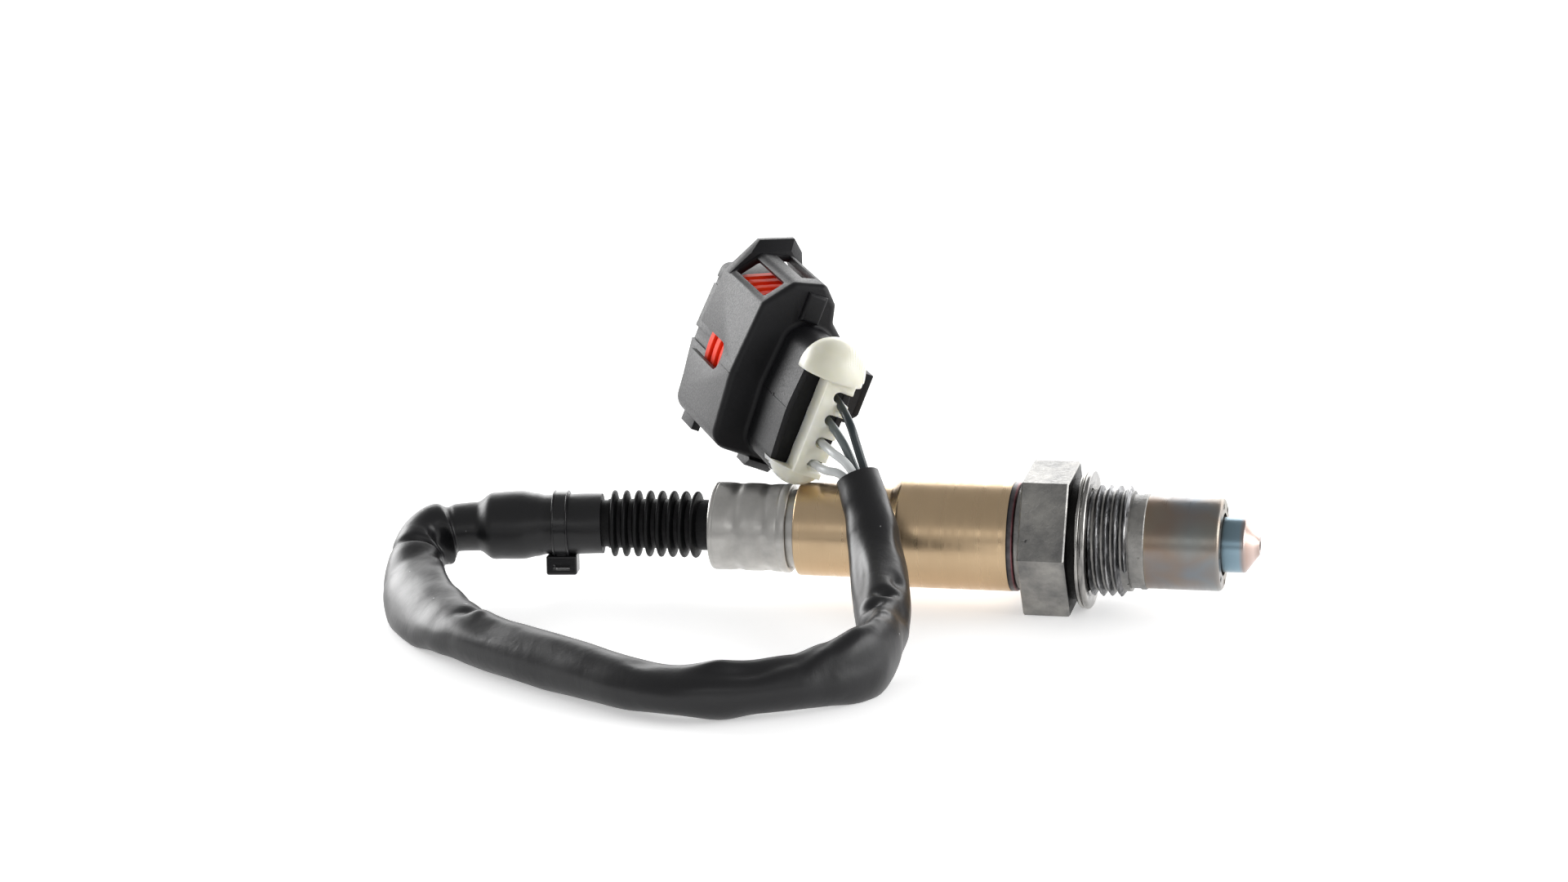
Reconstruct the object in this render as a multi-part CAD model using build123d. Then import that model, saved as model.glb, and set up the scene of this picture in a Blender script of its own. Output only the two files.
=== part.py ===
from build123d import *
from math import atan2, cos, degrees, radians, sin, tan
import os

os.makedirs("parts", exist_ok=True)

# Oxygen sensor with a four-wire lead. Millimetres, +Z up, table at z = -hex_across_flats / 2.
# The sensor's axis is X, its nose points to +X, and x = 0 is the front face of the sealing gasket.

# Cutters pass a face by the overcut; fused pieces enter each other by the joint depth
overcut = 1.0
joint_depth = 0.5

# Hexagon, seat and thread
hex_across_flats = 22.0
hex_length = 7.56
hex_edge_chamfer = 0.25
collar_diameter = 19.2
collar_length = 1.2
thread_major = 17.9
thread_length = 6.4
thread_lead_in = 0.4
undercut_diameter = 15.9
front_relief_diameter = 15.0
front_relief_length = 1.6
front_bead_diameter = 15.3
front_bead_length = 0.9
front_bead_round = 0.3
neck_diameter = 16.5
neck_length = 5.2

# Captive gasket, a folded steel ring
gasket_outer_diameter = 22.2
gasket_inner_diameter = 16.5
gasket_thickness = 1.8
gasket_sheet = 0.38
gasket_seat_inner_diameter = 18.4
gasket_fold_back = 0.6

# Bores of the housing, rear to front
rear_bore_diameter = 12.6
front_bore_diameter = 9.3
bore_cone_start = -4.6
bore_cone_length = 1.6
front_counterbore_depth = 2.0

# Protection tubes over the sensing tip
outer_tube_diameter = 14.9
outer_tube_wall = 0.5
outer_tube_length = 11.9
outer_tube_mouth_diameter = 10.0
outer_tube_corner = 0.7
vent_count = 8
vent_width = 1.1
vent_depth = 0.9
inner_tube_diameter = 8.8
inner_tube_wall = 0.45
inner_tube_corner = 0.5
inner_tube_straight_end = 24.3
inner_tube_tip = 26.5
inner_tube_tip_flat = 2.9
inner_tube_tip_hole = 1.5
gas_hole_count = 6
gas_hole_diameter = 1.6
gas_hole_x = 12.5
tube_flange_diameter = 12.2
tube_flange_thickness = 0.6
tube_flange_clearance = 0.1
tube_flange_lip = 0.4
inner_tube_mouth_round = 0.2

# Ceramic stack around the sensing element
element_width = 4.2
element_thickness = 1.5
element_rear = -31.0
element_front = 22.6
bush_clearance = 0.1
front_bush_rear = -7.0
front_bush_front = 4.5
packing_length = 3.2
rear_bush_large_length = 4.4
rear_bush_step_depth = 1.5
rear_bush_small_length = 6.5
retaining_ring_length = 1.6

# Outer sleeve, a stepped bronze-coloured tube welded round the neck
sleeve_wall = 0.5
sleeve_large_diameter = 17.5
sleeve_rear = -47.75
sleeve_shoulder_rear = -32.3
sleeve_shoulder_front = -30.75
sleeve_front = -12.9
sleeve_shoulder_round = 0.7
sleeve_rear_round = 0.35
weld_bead_diameter = 17.4
weld_bead_length = 1.2
weld_bead_round = 0.4

# Crimped ferrule behind the outer sleeve
ferrule_wall = 0.75
ferrule_rear = -61.9
ferrule_front = -49.0
ferrule_groove_depth = 0.35
ferrule_groove_step = 0.6
ferrule_insert_length = 9.5
ferrule_insert_wall = 0.65
ferrule_lip_diameter = 9.2
ferrule_lip_thickness = 0.55
ferrule_round = 0.5
ferrule_front_round = 0.3
crimp_places = (-57.6, -52.8)
crimp_width = 2.3
crimp_jaws = 8
crimp_turn = 11
crimp_depth = 0.425
crimp_ramp = 0.6

# Contact holder and its springs
holder_clearance = 0.2
holder_rear = -46.5
holder_front = -27.5
holder_floor = 3.0
holder_round = 0.4
holder_slot_height = 3.6
holder_slot_width = 5.4
spring_width = 1.0
spring_thickness = 0.3
spring_touch = 0.02
spring_crimp_diameter = 1.9
spring_crimp_length = 3.0
spring_crimp_overlap = 1.6
spring_crimp_clearance = 0.05
spring_straight = 1.5
spring_lead_in = 1.0
spring_lift = 0.7
spring_touch_place = 1.6
spring_tip = 1.2
wire_start = -44.6

# Boot: grommet, bellows and tail in one moulding
grommet_diameter = 12.6
grommet_clearance = 0.05
grommet_floor = 1.5
grommet_hole_clearance = 0.1
grommet_rear = -61.3
grommet_front = -50.2
boot_neck_diameter = 8.2
bellows_start = -64.0
bellows_bend = 8.0
bellows_length = 15.4
rib_count = 8
rib_crest_diameter = 10.8
rib_root_diameter = 8.0
rib_thickness = 1.5
rib_crest_round = 0.35
rib_crest_half = 0.3
boot_bore_diameter = 5.5
tail_diameter = 7.6
tail_length = 19.0
tail_barb_diameter = 9.4
tail_barb_length = 5.0
tail_barb_ramp = 1.6

# Cable sleeve, a soft tube over the boot's tail and the four wires
cable_sleeve_diameter = 8.6
cable_sleeve_wall = 0.7
cable_sleeve_start = 1.0
cuff_diameter = 9.75
cuff_length = 10.3
bulge_diameter = 11.2
bulge_start = 14.0
bulge_end = 18.2
cuff_end = 22.4

# Cable tie round the cuff
tie_strap_width = 2.5
tie_strap_thickness = 0.75
tie_groove_diameter = 9.0
tie_place = 7.7
tie_head_length = 5.0
tie_head_width = 4.4
tie_head_height = 3.2
tie_head_angle = 188.0
tie_head_round = 0.4
tie_head_gap = 0.1
tie_slot_room = 0.12
tie_slot_out = 0.35
tie_stub_proud = 1.6

# Wires
wire_diameter = 1.4
wire_spacing = 2.1
wire_pitch = 3.9

# The lead's route: where its first turn lies along the boot's tail, then the corners of its centre line
lead_first_corner = 18.6
lead_first_drop = 0.25
lead_corners = (
    (-108.0, -5.2, -0.8),
    (-108.8, -15.2, -5.3),
    (-104.8, -27.4, -6.5),
    (-91.8, -41.6, -6.7),
    (-74.5, -52.6, -6.6),
    (-54.6, -63.8, -6.7),
    (-38.0, -57.0, -6.6),
    (-28.0, -51.0, -6.7),
    (-26.2, -43.6, -6.6),
    (-27.8, -33.6, -4.0),
    (-31.6, -18.0, 0.6),
    (-34.2, -11.2, 7.0),
    (-36.6, -8.2, 11.4),
)
lead_to_fan = 1.6
bend_share = 0.45

# Connector frame: origin on the rear face of its tower, amid the row of cavities
connector_x = -45.83
connector_y = 0.65
connector_above_sleeve = 10.09
connector_across = (0.8087, 0.4321, -0.3991)
connector_rearward = (0.4651, -0.8851, -0.0156)

# Connector housing, in its own frame: x across, y along the row, z rearward
# Each corner of an outline is (x, y, rounding), round the outline from its lower right
shroud_half_width = 10.8
shroud_bottom = -11.2
shroud_corners = (
    (9.5, shroud_bottom, 3.2),
    (shroud_half_width, 1.3, 14.0),
    (9.9, 8.6, 1.6),
    (6.4, 11.2, 1.0),
    (2.9, 14.2, 1.0),
    (2.1, 17.2, 1.0),
    (-0.6, 19.9, 1.4),
    (-6.0, 18.6, 1.2),
    (-10.0, 13.6, 1.6),
    (-shroud_half_width, 1.3, 14.0),
    (-9.5, shroud_bottom, 3.2),
)
lip_corners = (
    (2.1, 17.2),
    (1.2, 20.6),
    (-0.9, 22.4),
    (-6.6, 20.3),
    (-10.0, 13.6),
    (-6.0, 17.4),
    (-0.6, 18.7),
)
lip_depth = 2.9
lip_ramp = 1.7
shroud_rear = -14.2
shroud_front = -37.4
shroud_wall = 1.1
shroud_back_wall = 1.8
shroud_back_round = 1.0
tower_corners = (
    (4.1, -9.9, 3.4),
    (4.9, 1.35, 20.0),
    (4.1, 12.6, 3.4),
    (-4.1, 12.6, 3.4),
    (-4.9, 1.35, 20.0),
    (-4.1, -9.9, 3.4),
)
tower_wall = 1.0
tower_root_round = 0.8
core_corners = (
    (7.0, -8.7, 3.0),
    (8.3, 1.3, 14.0),
    (7.5, 7.0, 2.0),
    (0.5, 12.9, 1.6),
    (-0.8, 16.2, 1.0),
    (-7.9, 13.4, 1.8),
    (-8.4, 1.3, 14.0),
    (-7.0, -8.7, 3.0),
)
core_front = -46.0
core_wall = 0.9
core_front_chamfer = 0.5
core_grooves = ((0.8, 2.2), (10.3, 1.3))
core_groove_depth = 0.8
cavity_block_left = -1.4
cavity_block_right = 3.8
cavity_block_bottom = -7.4
cavity_block_top = 7.7
cavity_block_front = -24.0
cavity_row_x = 1.2
cavity_row_y = 0.15
cavity_width = 2.6
cavity_rear = -12.4
wire_hole_diameter = 1.8
side_slot_width = 4.8
side_slot_length = 16.2
side_slot_y = 1.75
window_length = 17.2
window_from_front = 3.3
window_width = 4.0
window_depth = 3.2
window_round = 0.6
guard_slot_x = -2.6
guard_slot_width = 2.4
guard_slot_length = 15.6
guard_slot_from_front = 3.4
guard_slot_depth = 3.4
guard_block_left = -3.3
guard_block_right = 0.0
guard_block_bottom = 13.2
guard_block_top = 18.0
guard_block_proud = 1.3
guard_block_round = 0.6
foot_width = 1.4
foot_height = 1.3
foot_x = 7.2
foot_length = 6.5
foot_from_front = 1.0
clip_rail_reach = 13.2
clip_rail_bottom = -1.0
clip_rail_top = 7.9
clip_rail_bevel = 1.7
clip_rail_length = 18.0
clip_rail_grooves = 3
clip_rail_groove_width = 1.0
clip_rail_groove_depth = 0.9
clip_rail_from_rear = 1.6
clip_ramp_width = 4.4
clip_ramp_height = 1.6
clip_ramp_length = 6.0

# Seals inside the connector
interface_seal_rear = -17.4
interface_seal_front = -36.0
interface_seal_thickness = 0.8
interface_seal_ridge = 0.5
interface_seal_ridge_width = 2.4
interface_seal_ridge_round = 0.45
interface_seal_ridges = 5
mat_seal_thickness = 4.4
mat_seal_sunk = 0.2
mat_seal_grip = 1.45

# Wire comb, the clip over the tower's rear end
comb_bar_left = -1.5
comb_bar_right = 3.3
comb_thickness = 4.6
comb_notch_width = 1.8
comb_cap_radius = 5.5
comb_cap_center_y = 9.1
comb_cap_chord_y = 8.2
comb_cap_reach = 0.8
comb_foot_radius = 4.8
comb_foot_center_y = -5.6
comb_foot_chord_y = -7.4
comb_foot_reach = 3.0
comb_gap = 0.12
comb_overlap = 0.3

# Terminals
blade_width = 1.5
blade_thickness = 0.7
blade_length = 8.5
terminal_box = 2.2
terminal_box_length = 8.0
terminal_neck = 1.0
terminal_crimp_diameter = 1.7
terminal_crimp_length = 4.0
wire_end = -9.0
wire_turn = 7.6

# Derived stations along the sensor
ferrule_bore_diameter = grommet_diameter + 2 * grommet_clearance
ferrule_diameter = ferrule_bore_diameter + 2 * ferrule_wall
ferrule_groove_diameter = ferrule_diameter - 2 * ferrule_groove_depth
crimp_across_flats = ferrule_diameter - 2 * crimp_depth
holder_diameter = ferrule_bore_diameter - 2 * holder_clearance
sleeve_small_diameter = ferrule_bore_diameter + 2 * (ferrule_insert_wall + sleeve_wall)
hex_front = -gasket_thickness - collar_length
hex_rear = hex_front - hex_length
neck_rear = hex_rear - neck_length
thread_end = thread_length
bead_start = thread_end + front_relief_length
bead_end = bead_start + front_bead_length
outer_tube_end = bead_end + outer_tube_length


def turned(*corners):
    """A solid turned about the sensor's axis from (along, radius) corners."""
    return revolve(make_face(Polyline(*corners, close=True)), Axis.X)


def rod(start, end, diameter, y=0.0, z=0.0):
    """A round bar along X from start to end."""
    place = Plane(origin=(start, y, z), x_dir=(0, 1, 0), z_dir=(1, 0, 0))
    return extrude(place * Circle(diameter / 2), end - start)


def block(x_low, x_high, y_low, y_high, z_low, z_high):
    """A box between two corners."""
    size = Box(x_high - x_low, y_high - y_low, z_high - z_low)
    return Pos((x_low + x_high) / 2, (y_low + y_high) / 2, (z_low + z_high) / 2) * size


def ring_edges(part, x, diameter):
    """The circular edges of a turned part at one station and diameter."""
    found = part.edges().filter_by(GeomType.CIRCLE)
    return [e for e in found if abs(e.arc_center.X - x) < 0.01 and abs(e.radius - diameter / 2) < 0.01]


def bend_radii(points):
    """A corner radius for each inner point, from the shorter run beside it and its turn."""
    radii = []
    for before, here, after in zip(points, points[1:], points[2:]):
        first = Vector(*here) - Vector(*before)
        second = Vector(*after) - Vector(*here)
        turn = radians(first.get_angle(second))
        radii.append(bend_share * min(first.length, second.length) / tan(turn / 2))
    return radii


def beside(points, offset_y, offset_z):
    """Corners of a line that keeps one offset from another line, without twisting round it."""
    points = [Vector(*p) for p in points]
    runs = [(b - a).normalized() for a, b in zip(points, points[1:])]
    side = Vector(0, 1, 0) * offset_y + Vector(0, 0, 1) * offset_z
    shifted = [points[0] + side]
    for run, following, corner in zip(runs, runs[1:], points[1:]):
        across = run.cross(following).normalized()
        turn = radians(run.get_angle(following))
        inward = across.cross(run).normalized()
        flat = across * side.dot(across)
        inner = side.dot(inward)
        middle = (inward + across.cross(following).normalized()).normalized()
        shifted.append(corner + flat + middle * (inner / cos(turn / 2)))
        side = flat + across.cross(following).normalized() * inner
    shifted.append(points[-1] + side)
    return [tuple(p) for p in shifted]


def cord_line(points):
    """Straight runs joined by tangent arcs through the given corners."""
    return FilletPolyline(*points, radius=bend_radii(points))


def cord(points, diameter):
    """A round cord along its corners."""
    line = cord_line(points)
    start = Plane(origin=line @ 0, z_dir=line % 0)
    return sweep(start * Circle(diameter / 2), path=line)


# Housing
hexagon_place = Plane(origin=(hex_rear, 0, 0), x_dir=(0, 1, 0), z_dir=(1, 0, 0))
hexagon = RegularPolygon(hex_across_flats / 2, 6, major_radius=False, rotation=0)
hex_body = extrude(hexagon_place * hexagon, hex_length)
housing_skin = turned(
    (neck_rear, 0),
    (neck_rear, neck_diameter / 2),
    (hex_rear + joint_depth, neck_diameter / 2),
    (hex_rear + joint_depth, collar_diameter / 2),
    (hex_front + collar_length, collar_diameter / 2),
    (hex_front + collar_length, undercut_diameter / 2),
    (0, undercut_diameter / 2),
    (thread_lead_in, thread_major / 2),
    (thread_end - thread_lead_in, thread_major / 2),
    (thread_end, thread_major / 2 - thread_lead_in),
    (thread_end, front_relief_diameter / 2),
    (bead_start, front_relief_diameter / 2),
    (bead_start, front_bead_diameter / 2),
    (bead_end, front_bead_diameter / 2),
    (bead_end, 0),
)
front_counterbore_diameter = tube_flange_diameter + 2 * tube_flange_clearance
housing_bore = turned(
    (neck_rear - overcut, 0),
    (neck_rear - overcut, rear_bore_diameter / 2),
    (bore_cone_start, rear_bore_diameter / 2),
    (bore_cone_start + bore_cone_length, front_bore_diameter / 2),
    (bead_end - front_counterbore_depth, front_bore_diameter / 2),
    (bead_end - front_counterbore_depth, front_counterbore_diameter / 2),
    (bead_end + overcut, front_counterbore_diameter / 2),
    (bead_end + overcut, 0),
)
sensor_housing = chamfer(hex_body.edges().filter_by(Plane.YZ), hex_edge_chamfer) + housing_skin - housing_bore
sensor_housing = fillet(ring_edges(sensor_housing, bead_end, front_bead_diameter), front_bead_round)

# Gasket: a sheet ring folded over on itself, the last fold open towards its bore
gasket_rear = -gasket_thickness
gasket_low = gasket_inner_diameter / 2
gasket_high = gasket_outer_diameter / 2
gasket_seat_low = gasket_seat_inner_diameter / 2
gasket_gap = (gasket_thickness - 3 * gasket_sheet) / 2
gasket_middle_front = -gasket_sheet - gasket_gap
gasket_middle_rear = gasket_middle_front - gasket_sheet
captive_gasket = turned(
    (gasket_rear, gasket_low),
    (gasket_rear, gasket_high - gasket_sheet),
    (gasket_rear + gasket_sheet, gasket_high),
    (-gasket_sheet, gasket_high),
    (0, gasket_high - gasket_sheet),
    (0, gasket_seat_low),
    (-gasket_fold_back, gasket_low),
    (gasket_middle_rear, gasket_low),
    (gasket_middle_rear, gasket_high - 3 * gasket_sheet),
    (gasket_middle_front, gasket_high - 3 * gasket_sheet),
    (gasket_middle_front, gasket_low + 1.25 * gasket_sheet),
    (-gasket_sheet, gasket_seat_low + 0.25 * gasket_sheet),
    (-gasket_sheet, gasket_high - gasket_sheet),
    (gasket_rear + gasket_sheet, gasket_high - gasket_sheet),
    (gasket_rear + gasket_sheet, gasket_low),
)

# Protection tubes
flange_rear = bead_end - front_counterbore_depth
flange_front = flange_rear + tube_flange_thickness
outer_high = outer_tube_diameter / 2
outer_low = outer_high - outer_tube_wall
outer_protection_tube = turned(
    (flange_front, tube_flange_diameter / 2),
    (flange_front, tube_flange_diameter / 2 - outer_tube_wall - tube_flange_lip),
    (flange_front + outer_tube_wall, tube_flange_diameter / 2 - outer_tube_wall - tube_flange_lip),
    (flange_front + outer_tube_wall, tube_flange_diameter / 2 - outer_tube_wall),
    (bead_end + outer_tube_wall, tube_flange_diameter / 2 - outer_tube_wall),
    (bead_end + outer_tube_wall, outer_low),
    (outer_tube_end - outer_tube_wall, outer_low),
    (outer_tube_end - outer_tube_wall, outer_tube_mouth_diameter / 2),
    (outer_tube_end, outer_tube_mouth_diameter / 2),
    (outer_tube_end, outer_high),
    (bead_end, outer_high),
    (bead_end, tube_flange_diameter / 2),
)
outer_protection_tube = fillet(
    ring_edges(outer_protection_tube, outer_tube_end, outer_tube_diameter), outer_tube_corner
)
vent_from = (outer_tube_mouth_diameter / 2 + outer_high) / 2
for number in range(vent_count):
    vent = block(
        outer_tube_end - overcut, outer_tube_end + overcut,
        -vent_width / 2, vent_width / 2,
        vent_from - vent_depth / 2, vent_from + vent_depth / 2,
    )
    outer_protection_tube -= Rot(number * 360 / vent_count, 0, 0) * vent

inner_high = inner_tube_diameter / 2
inner_low = inner_high - inner_tube_wall
inner_protection_tube = turned(
    (flange_rear, tube_flange_diameter / 2),
    (flange_rear, inner_low),
    (inner_tube_straight_end, inner_low),
    (inner_tube_tip - inner_tube_wall, inner_tube_tip_flat / 2 - inner_tube_mouth_round),
    (inner_tube_tip - inner_tube_wall, inner_tube_tip_hole / 2),
    (inner_tube_tip, inner_tube_tip_hole / 2),
    (inner_tube_tip, inner_tube_tip_flat / 2),
    (inner_tube_straight_end, inner_high),
    (flange_front, inner_high),
    (flange_front, tube_flange_diameter / 2),
)
inner_protection_tube = fillet(
    ring_edges(inner_protection_tube, inner_tube_straight_end, inner_tube_diameter), inner_tube_corner
)
for number in range(gas_hole_count):
    hole = Pos(gas_hole_x, 0, inner_high) * Cylinder(gas_hole_diameter / 2, 4 * inner_tube_wall)
    inner_protection_tube -= Rot(number * 360 / gas_hole_count, 0, 0) * hole

# Ceramic stack
sensing_element = block(
    element_rear, element_front,
    -element_width / 2, element_width / 2,
    -element_thickness / 2, element_thickness / 2,
)
element_slot = block(
    element_rear - overcut, element_front + overcut,
    -element_width / 2 - bush_clearance, element_width / 2 + bush_clearance,
    -element_thickness / 2 - bush_clearance, element_thickness / 2 + bush_clearance,
)
stack_radius = rear_bore_diameter / 2 - bush_clearance
rear_bush_small_diameter = rear_bore_diameter - 2 * rear_bush_step_depth
front_bush_radius = front_bore_diameter / 2 - bush_clearance
packing_rear = front_bush_rear - packing_length
rear_bush_front = packing_rear
rear_bush_step = rear_bush_front - rear_bush_large_length
rear_bush_rear = rear_bush_step - rear_bush_small_length
front_ceramic_bush = turned(
    (front_bush_rear, 0),
    (front_bush_rear, stack_radius),
    (bore_cone_start, stack_radius),
    (bore_cone_start + bore_cone_length, front_bush_radius),
    (front_bush_front, front_bush_radius),
    (front_bush_front, 0),
) - element_slot
packing_hole = block(
    packing_rear - overcut, front_bush_rear + overcut,
    -element_width / 2, element_width / 2,
    -element_thickness / 2, element_thickness / 2,
)
packing_ring = rod(packing_rear, front_bush_rear, rear_bore_diameter) - packing_hole
rear_ceramic_bush = turned(
    (rear_bush_rear, 0),
    (rear_bush_rear, rear_bush_small_diameter / 2),
    (rear_bush_step, rear_bush_small_diameter / 2),
    (rear_bush_step, stack_radius),
    (rear_bush_front, stack_radius),
    (rear_bush_front, 0),
) - element_slot
retaining_ring = turned(
    (rear_bush_step - retaining_ring_length, rear_bush_small_diameter / 2),
    (rear_bush_step - retaining_ring_length, rear_bore_diameter / 2),
    (rear_bush_step, rear_bore_diameter / 2),
    (rear_bush_step, rear_bush_small_diameter / 2),
)

# Outer sleeve and its weld bead
small_high = sleeve_small_diameter / 2
large_high = sleeve_large_diameter / 2
shoulder_shift = 0.4 * sleeve_wall
sleeve_profile = make_face(Polyline(
    (sleeve_rear, small_high - sleeve_wall),
    (sleeve_rear, small_high),
    (sleeve_shoulder_rear, small_high),
    (sleeve_shoulder_front, large_high),
    (sleeve_front, large_high),
    (sleeve_front, large_high - sleeve_wall),
    (sleeve_shoulder_front + shoulder_shift, large_high - sleeve_wall),
    (sleeve_shoulder_rear + shoulder_shift, small_high - sleeve_wall),
    close=True,
))
shoulder_corners = [
    v for v in sleeve_profile.vertices()
    if sleeve_shoulder_rear - 0.01 < v.X < sleeve_shoulder_front + shoulder_shift + 0.01
]
sleeve_profile = fillet(shoulder_corners, sleeve_shoulder_round)
outer_sleeve = revolve(sleeve_profile, Axis.X)
outer_sleeve = fillet(ring_edges(outer_sleeve, sleeve_rear, sleeve_small_diameter), sleeve_rear_round)
weld_bead = turned(
    (sleeve_front, neck_diameter / 2),
    (sleeve_front, weld_bead_diameter / 2),
    (sleeve_front + weld_bead_length, weld_bead_diameter / 2),
    (sleeve_front + weld_bead_length, neck_diameter / 2),
)
weld_rim = ring_edges(weld_bead, sleeve_front + weld_bead_length, weld_bead_diameter)
weld_bead = fillet(weld_rim, weld_bead_round)

# Crimped ferrule
insert_high = sleeve_small_diameter / 2 - sleeve_wall
crimp_ferrule = turned(
    (ferrule_rear, ferrule_lip_diameter / 2),
    (ferrule_rear, ferrule_diameter / 2),
    (ferrule_front, ferrule_diameter / 2),
    (ferrule_front, ferrule_groove_diameter / 2),
    (sleeve_rear + ferrule_groove_step, ferrule_groove_diameter / 2),
    (sleeve_rear + ferrule_groove_step, insert_high),
    (ferrule_front + ferrule_insert_length, insert_high),
    (ferrule_front + ferrule_insert_length, ferrule_bore_diameter / 2),
    (ferrule_rear + ferrule_lip_thickness, ferrule_bore_diameter / 2),
    (ferrule_rear + ferrule_lip_thickness, ferrule_lip_diameter / 2),
)
crimp_ferrule = fillet(ring_edges(crimp_ferrule, ferrule_rear, ferrule_diameter), ferrule_round)
crimp_ferrule = fillet(ring_edges(crimp_ferrule, ferrule_front, ferrule_diameter), ferrule_front_round)
crimp_floor = crimp_across_flats / 2 - 0.02
for place in crimp_places:
    start = place - crimp_width / 2
    end = place + crimp_width / 2
    face = Plane(origin=(start, 0, 0), x_dir=(0, 1, 0), z_dir=(1, 0, 0))
    jaws = RegularPolygon(crimp_across_flats / 2, crimp_jaws, major_radius=False, rotation=crimp_turn)
    ramps = turned(
        (start, 0),
        (start, ferrule_diameter / 2),
        (start + crimp_ramp, crimp_floor),
        (end - crimp_ramp, crimp_floor),
        (end, ferrule_diameter / 2),
        (end, 0),
    )
    kept = extrude(face * jaws, crimp_width) + ramps
    crimp_ferrule -= extrude(face * Circle(ferrule_diameter), crimp_width) - kept

# Contact holder, a split block with four springs that press on the element
contact_holder = rod(holder_rear, holder_front, holder_diameter)
contact_holder -= block(
    holder_rear + holder_floor, holder_front + overcut,
    -holder_slot_width / 2, holder_slot_width / 2,
    -holder_slot_height / 2, holder_slot_height / 2,
)
contact_holder = fillet(ring_edges(contact_holder, holder_front, holder_diameter), holder_round)
wire_side = wire_spacing / 2
wire_sides = [(side_y, side_z) for side_y in (wire_side, -wire_side) for side_z in (wire_side, -wire_side)]
contact_springs = []
barrel_start = wire_start - spring_crimp_overlap
barrel_end = wire_start + spring_crimp_length
barrel_room = spring_crimp_diameter + 2 * spring_crimp_clearance
for side_y, side_z in wire_sides:
    contact_holder -= rod(holder_rear - overcut, barrel_end + joint_depth, barrel_room, side_y, side_z)
    outward = 1 if side_z > 0 else -1
    barrel = rod(barrel_start, barrel_end, spring_crimp_diameter, side_y, side_z)
    barrel -= rod(barrel_start - overcut, wire_start, wire_diameter, side_y, side_z)
    touch = (element_thickness / 2 + spring_touch) * outward
    leaf = Polyline(
        (barrel_end - spring_thickness, side_z),
        (barrel_end + spring_straight, side_z),
        (element_rear - spring_lead_in, touch + spring_lift * outward),
        (element_rear + spring_touch_place, touch + spring_thickness / 2 * outward),
        (element_rear + spring_touch_place + spring_tip, touch + spring_lift * outward),
    )
    strip = Plane.XZ * trace(leaf, spring_thickness)
    leaf_solid = extrude(strip, spring_width / 2, both=True)
    contact_springs.append(barrel + Pos(0, side_y, 0) * leaf_solid)

# Boot: grommet, neck, bellows bent towards the lead, tail
bend_angle = radians(bellows_bend)
bend_radius = bellows_length / bend_angle
tail_place = Plane(
    origin=(
        bellows_start - bend_radius * sin(bend_angle),
        -bend_radius * (1 - cos(bend_angle)),
        0,
    ),
    x_dir=(0, 0, 1),
    z_dir=(-cos(bend_angle), -sin(bend_angle), 0),
)


def along_bellows(share):
    """The frame across the boot at a share of the bellows' length."""
    angle = bend_angle * share
    middle = (bellows_start - bend_radius * sin(angle), -bend_radius * (1 - cos(angle)), 0)
    return Plane(origin=middle, x_dir=(0, 0, 1), z_dir=(-cos(angle), -sin(angle), 0))


bellows_arc = ThreePointArc(
    along_bellows(0).origin, along_bellows(0.5).origin, along_bellows(1).origin
)
bellows_boot = rod(grommet_rear, grommet_front, grommet_diameter)
bellows_boot += rod(bellows_start, grommet_rear, boot_neck_diameter)
bellows_boot += sweep(along_bellows(0) * Circle(rib_root_diameter / 2), path=bellows_arc)
tail_barb_start = tail_length - tail_barb_length
tail_section = make_face(Polyline(
    (0, 0),
    (tail_diameter / 2, 0),
    (tail_diameter / 2, tail_barb_start),
    (tail_barb_diameter / 2, tail_barb_start + tail_barb_ramp),
    (tail_barb_diameter / 2, tail_length - tail_barb_ramp),
    (tail_diameter / 2, tail_length),
    (0, tail_length),
    close=True,
))
boot_tail = revolve(Plane.XZ * tail_section, Axis.Z)
bellows_boot += tail_place.location * boot_tail
rib_half = rib_thickness / 2
rib_crest = rib_crest_diameter / 2
rib_shoulder = rib_crest - rib_crest_round
rib_foot = rib_root_diameter / 2 - rib_crest_round
rib_face = make_face(
    Polyline((0, -rib_half), (rib_foot, -rib_half), (rib_shoulder, -rib_crest_half))
    + ThreePointArc((rib_shoulder, -rib_crest_half), (rib_crest, 0), (rib_shoulder, rib_crest_half))
    + Polyline((rib_shoulder, rib_crest_half), (rib_foot, rib_half), (0, rib_half), (0, -rib_half))
)
rib = revolve(Plane.XZ * rib_face, Axis.Z)
for number in range(rib_count):
    bellows_boot += along_bellows((number + 0.5) / rib_count).location * rib
boot_bore = rod(bellows_start, grommet_rear + grommet_floor, boot_bore_diameter)
boot_bore += sweep(along_bellows(0) * Circle(boot_bore_diameter / 2), path=bellows_arc)
boot_bore += extrude(tail_place * Circle(boot_bore_diameter / 2), tail_length + overcut)
bellows_boot -= boot_bore
grommet_hole = wire_diameter + 2 * grommet_hole_clearance
for side_y, side_z in wire_sides:
    bellows_boot -= rod(grommet_rear - overcut, grommet_front + overcut, grommet_hole, side_y, side_z)

# The lead's centre line
tail_start = tail_place.origin
tail_run = tail_place.z_dir
first_corner = tail_start + tail_run * lead_first_corner - Vector(0, 0, lead_first_drop)
lead_points = [tuple(tail_start + tail_run * cable_sleeve_start), tuple(first_corner), *lead_corners]
lead_line = cord_line(lead_points)

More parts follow.
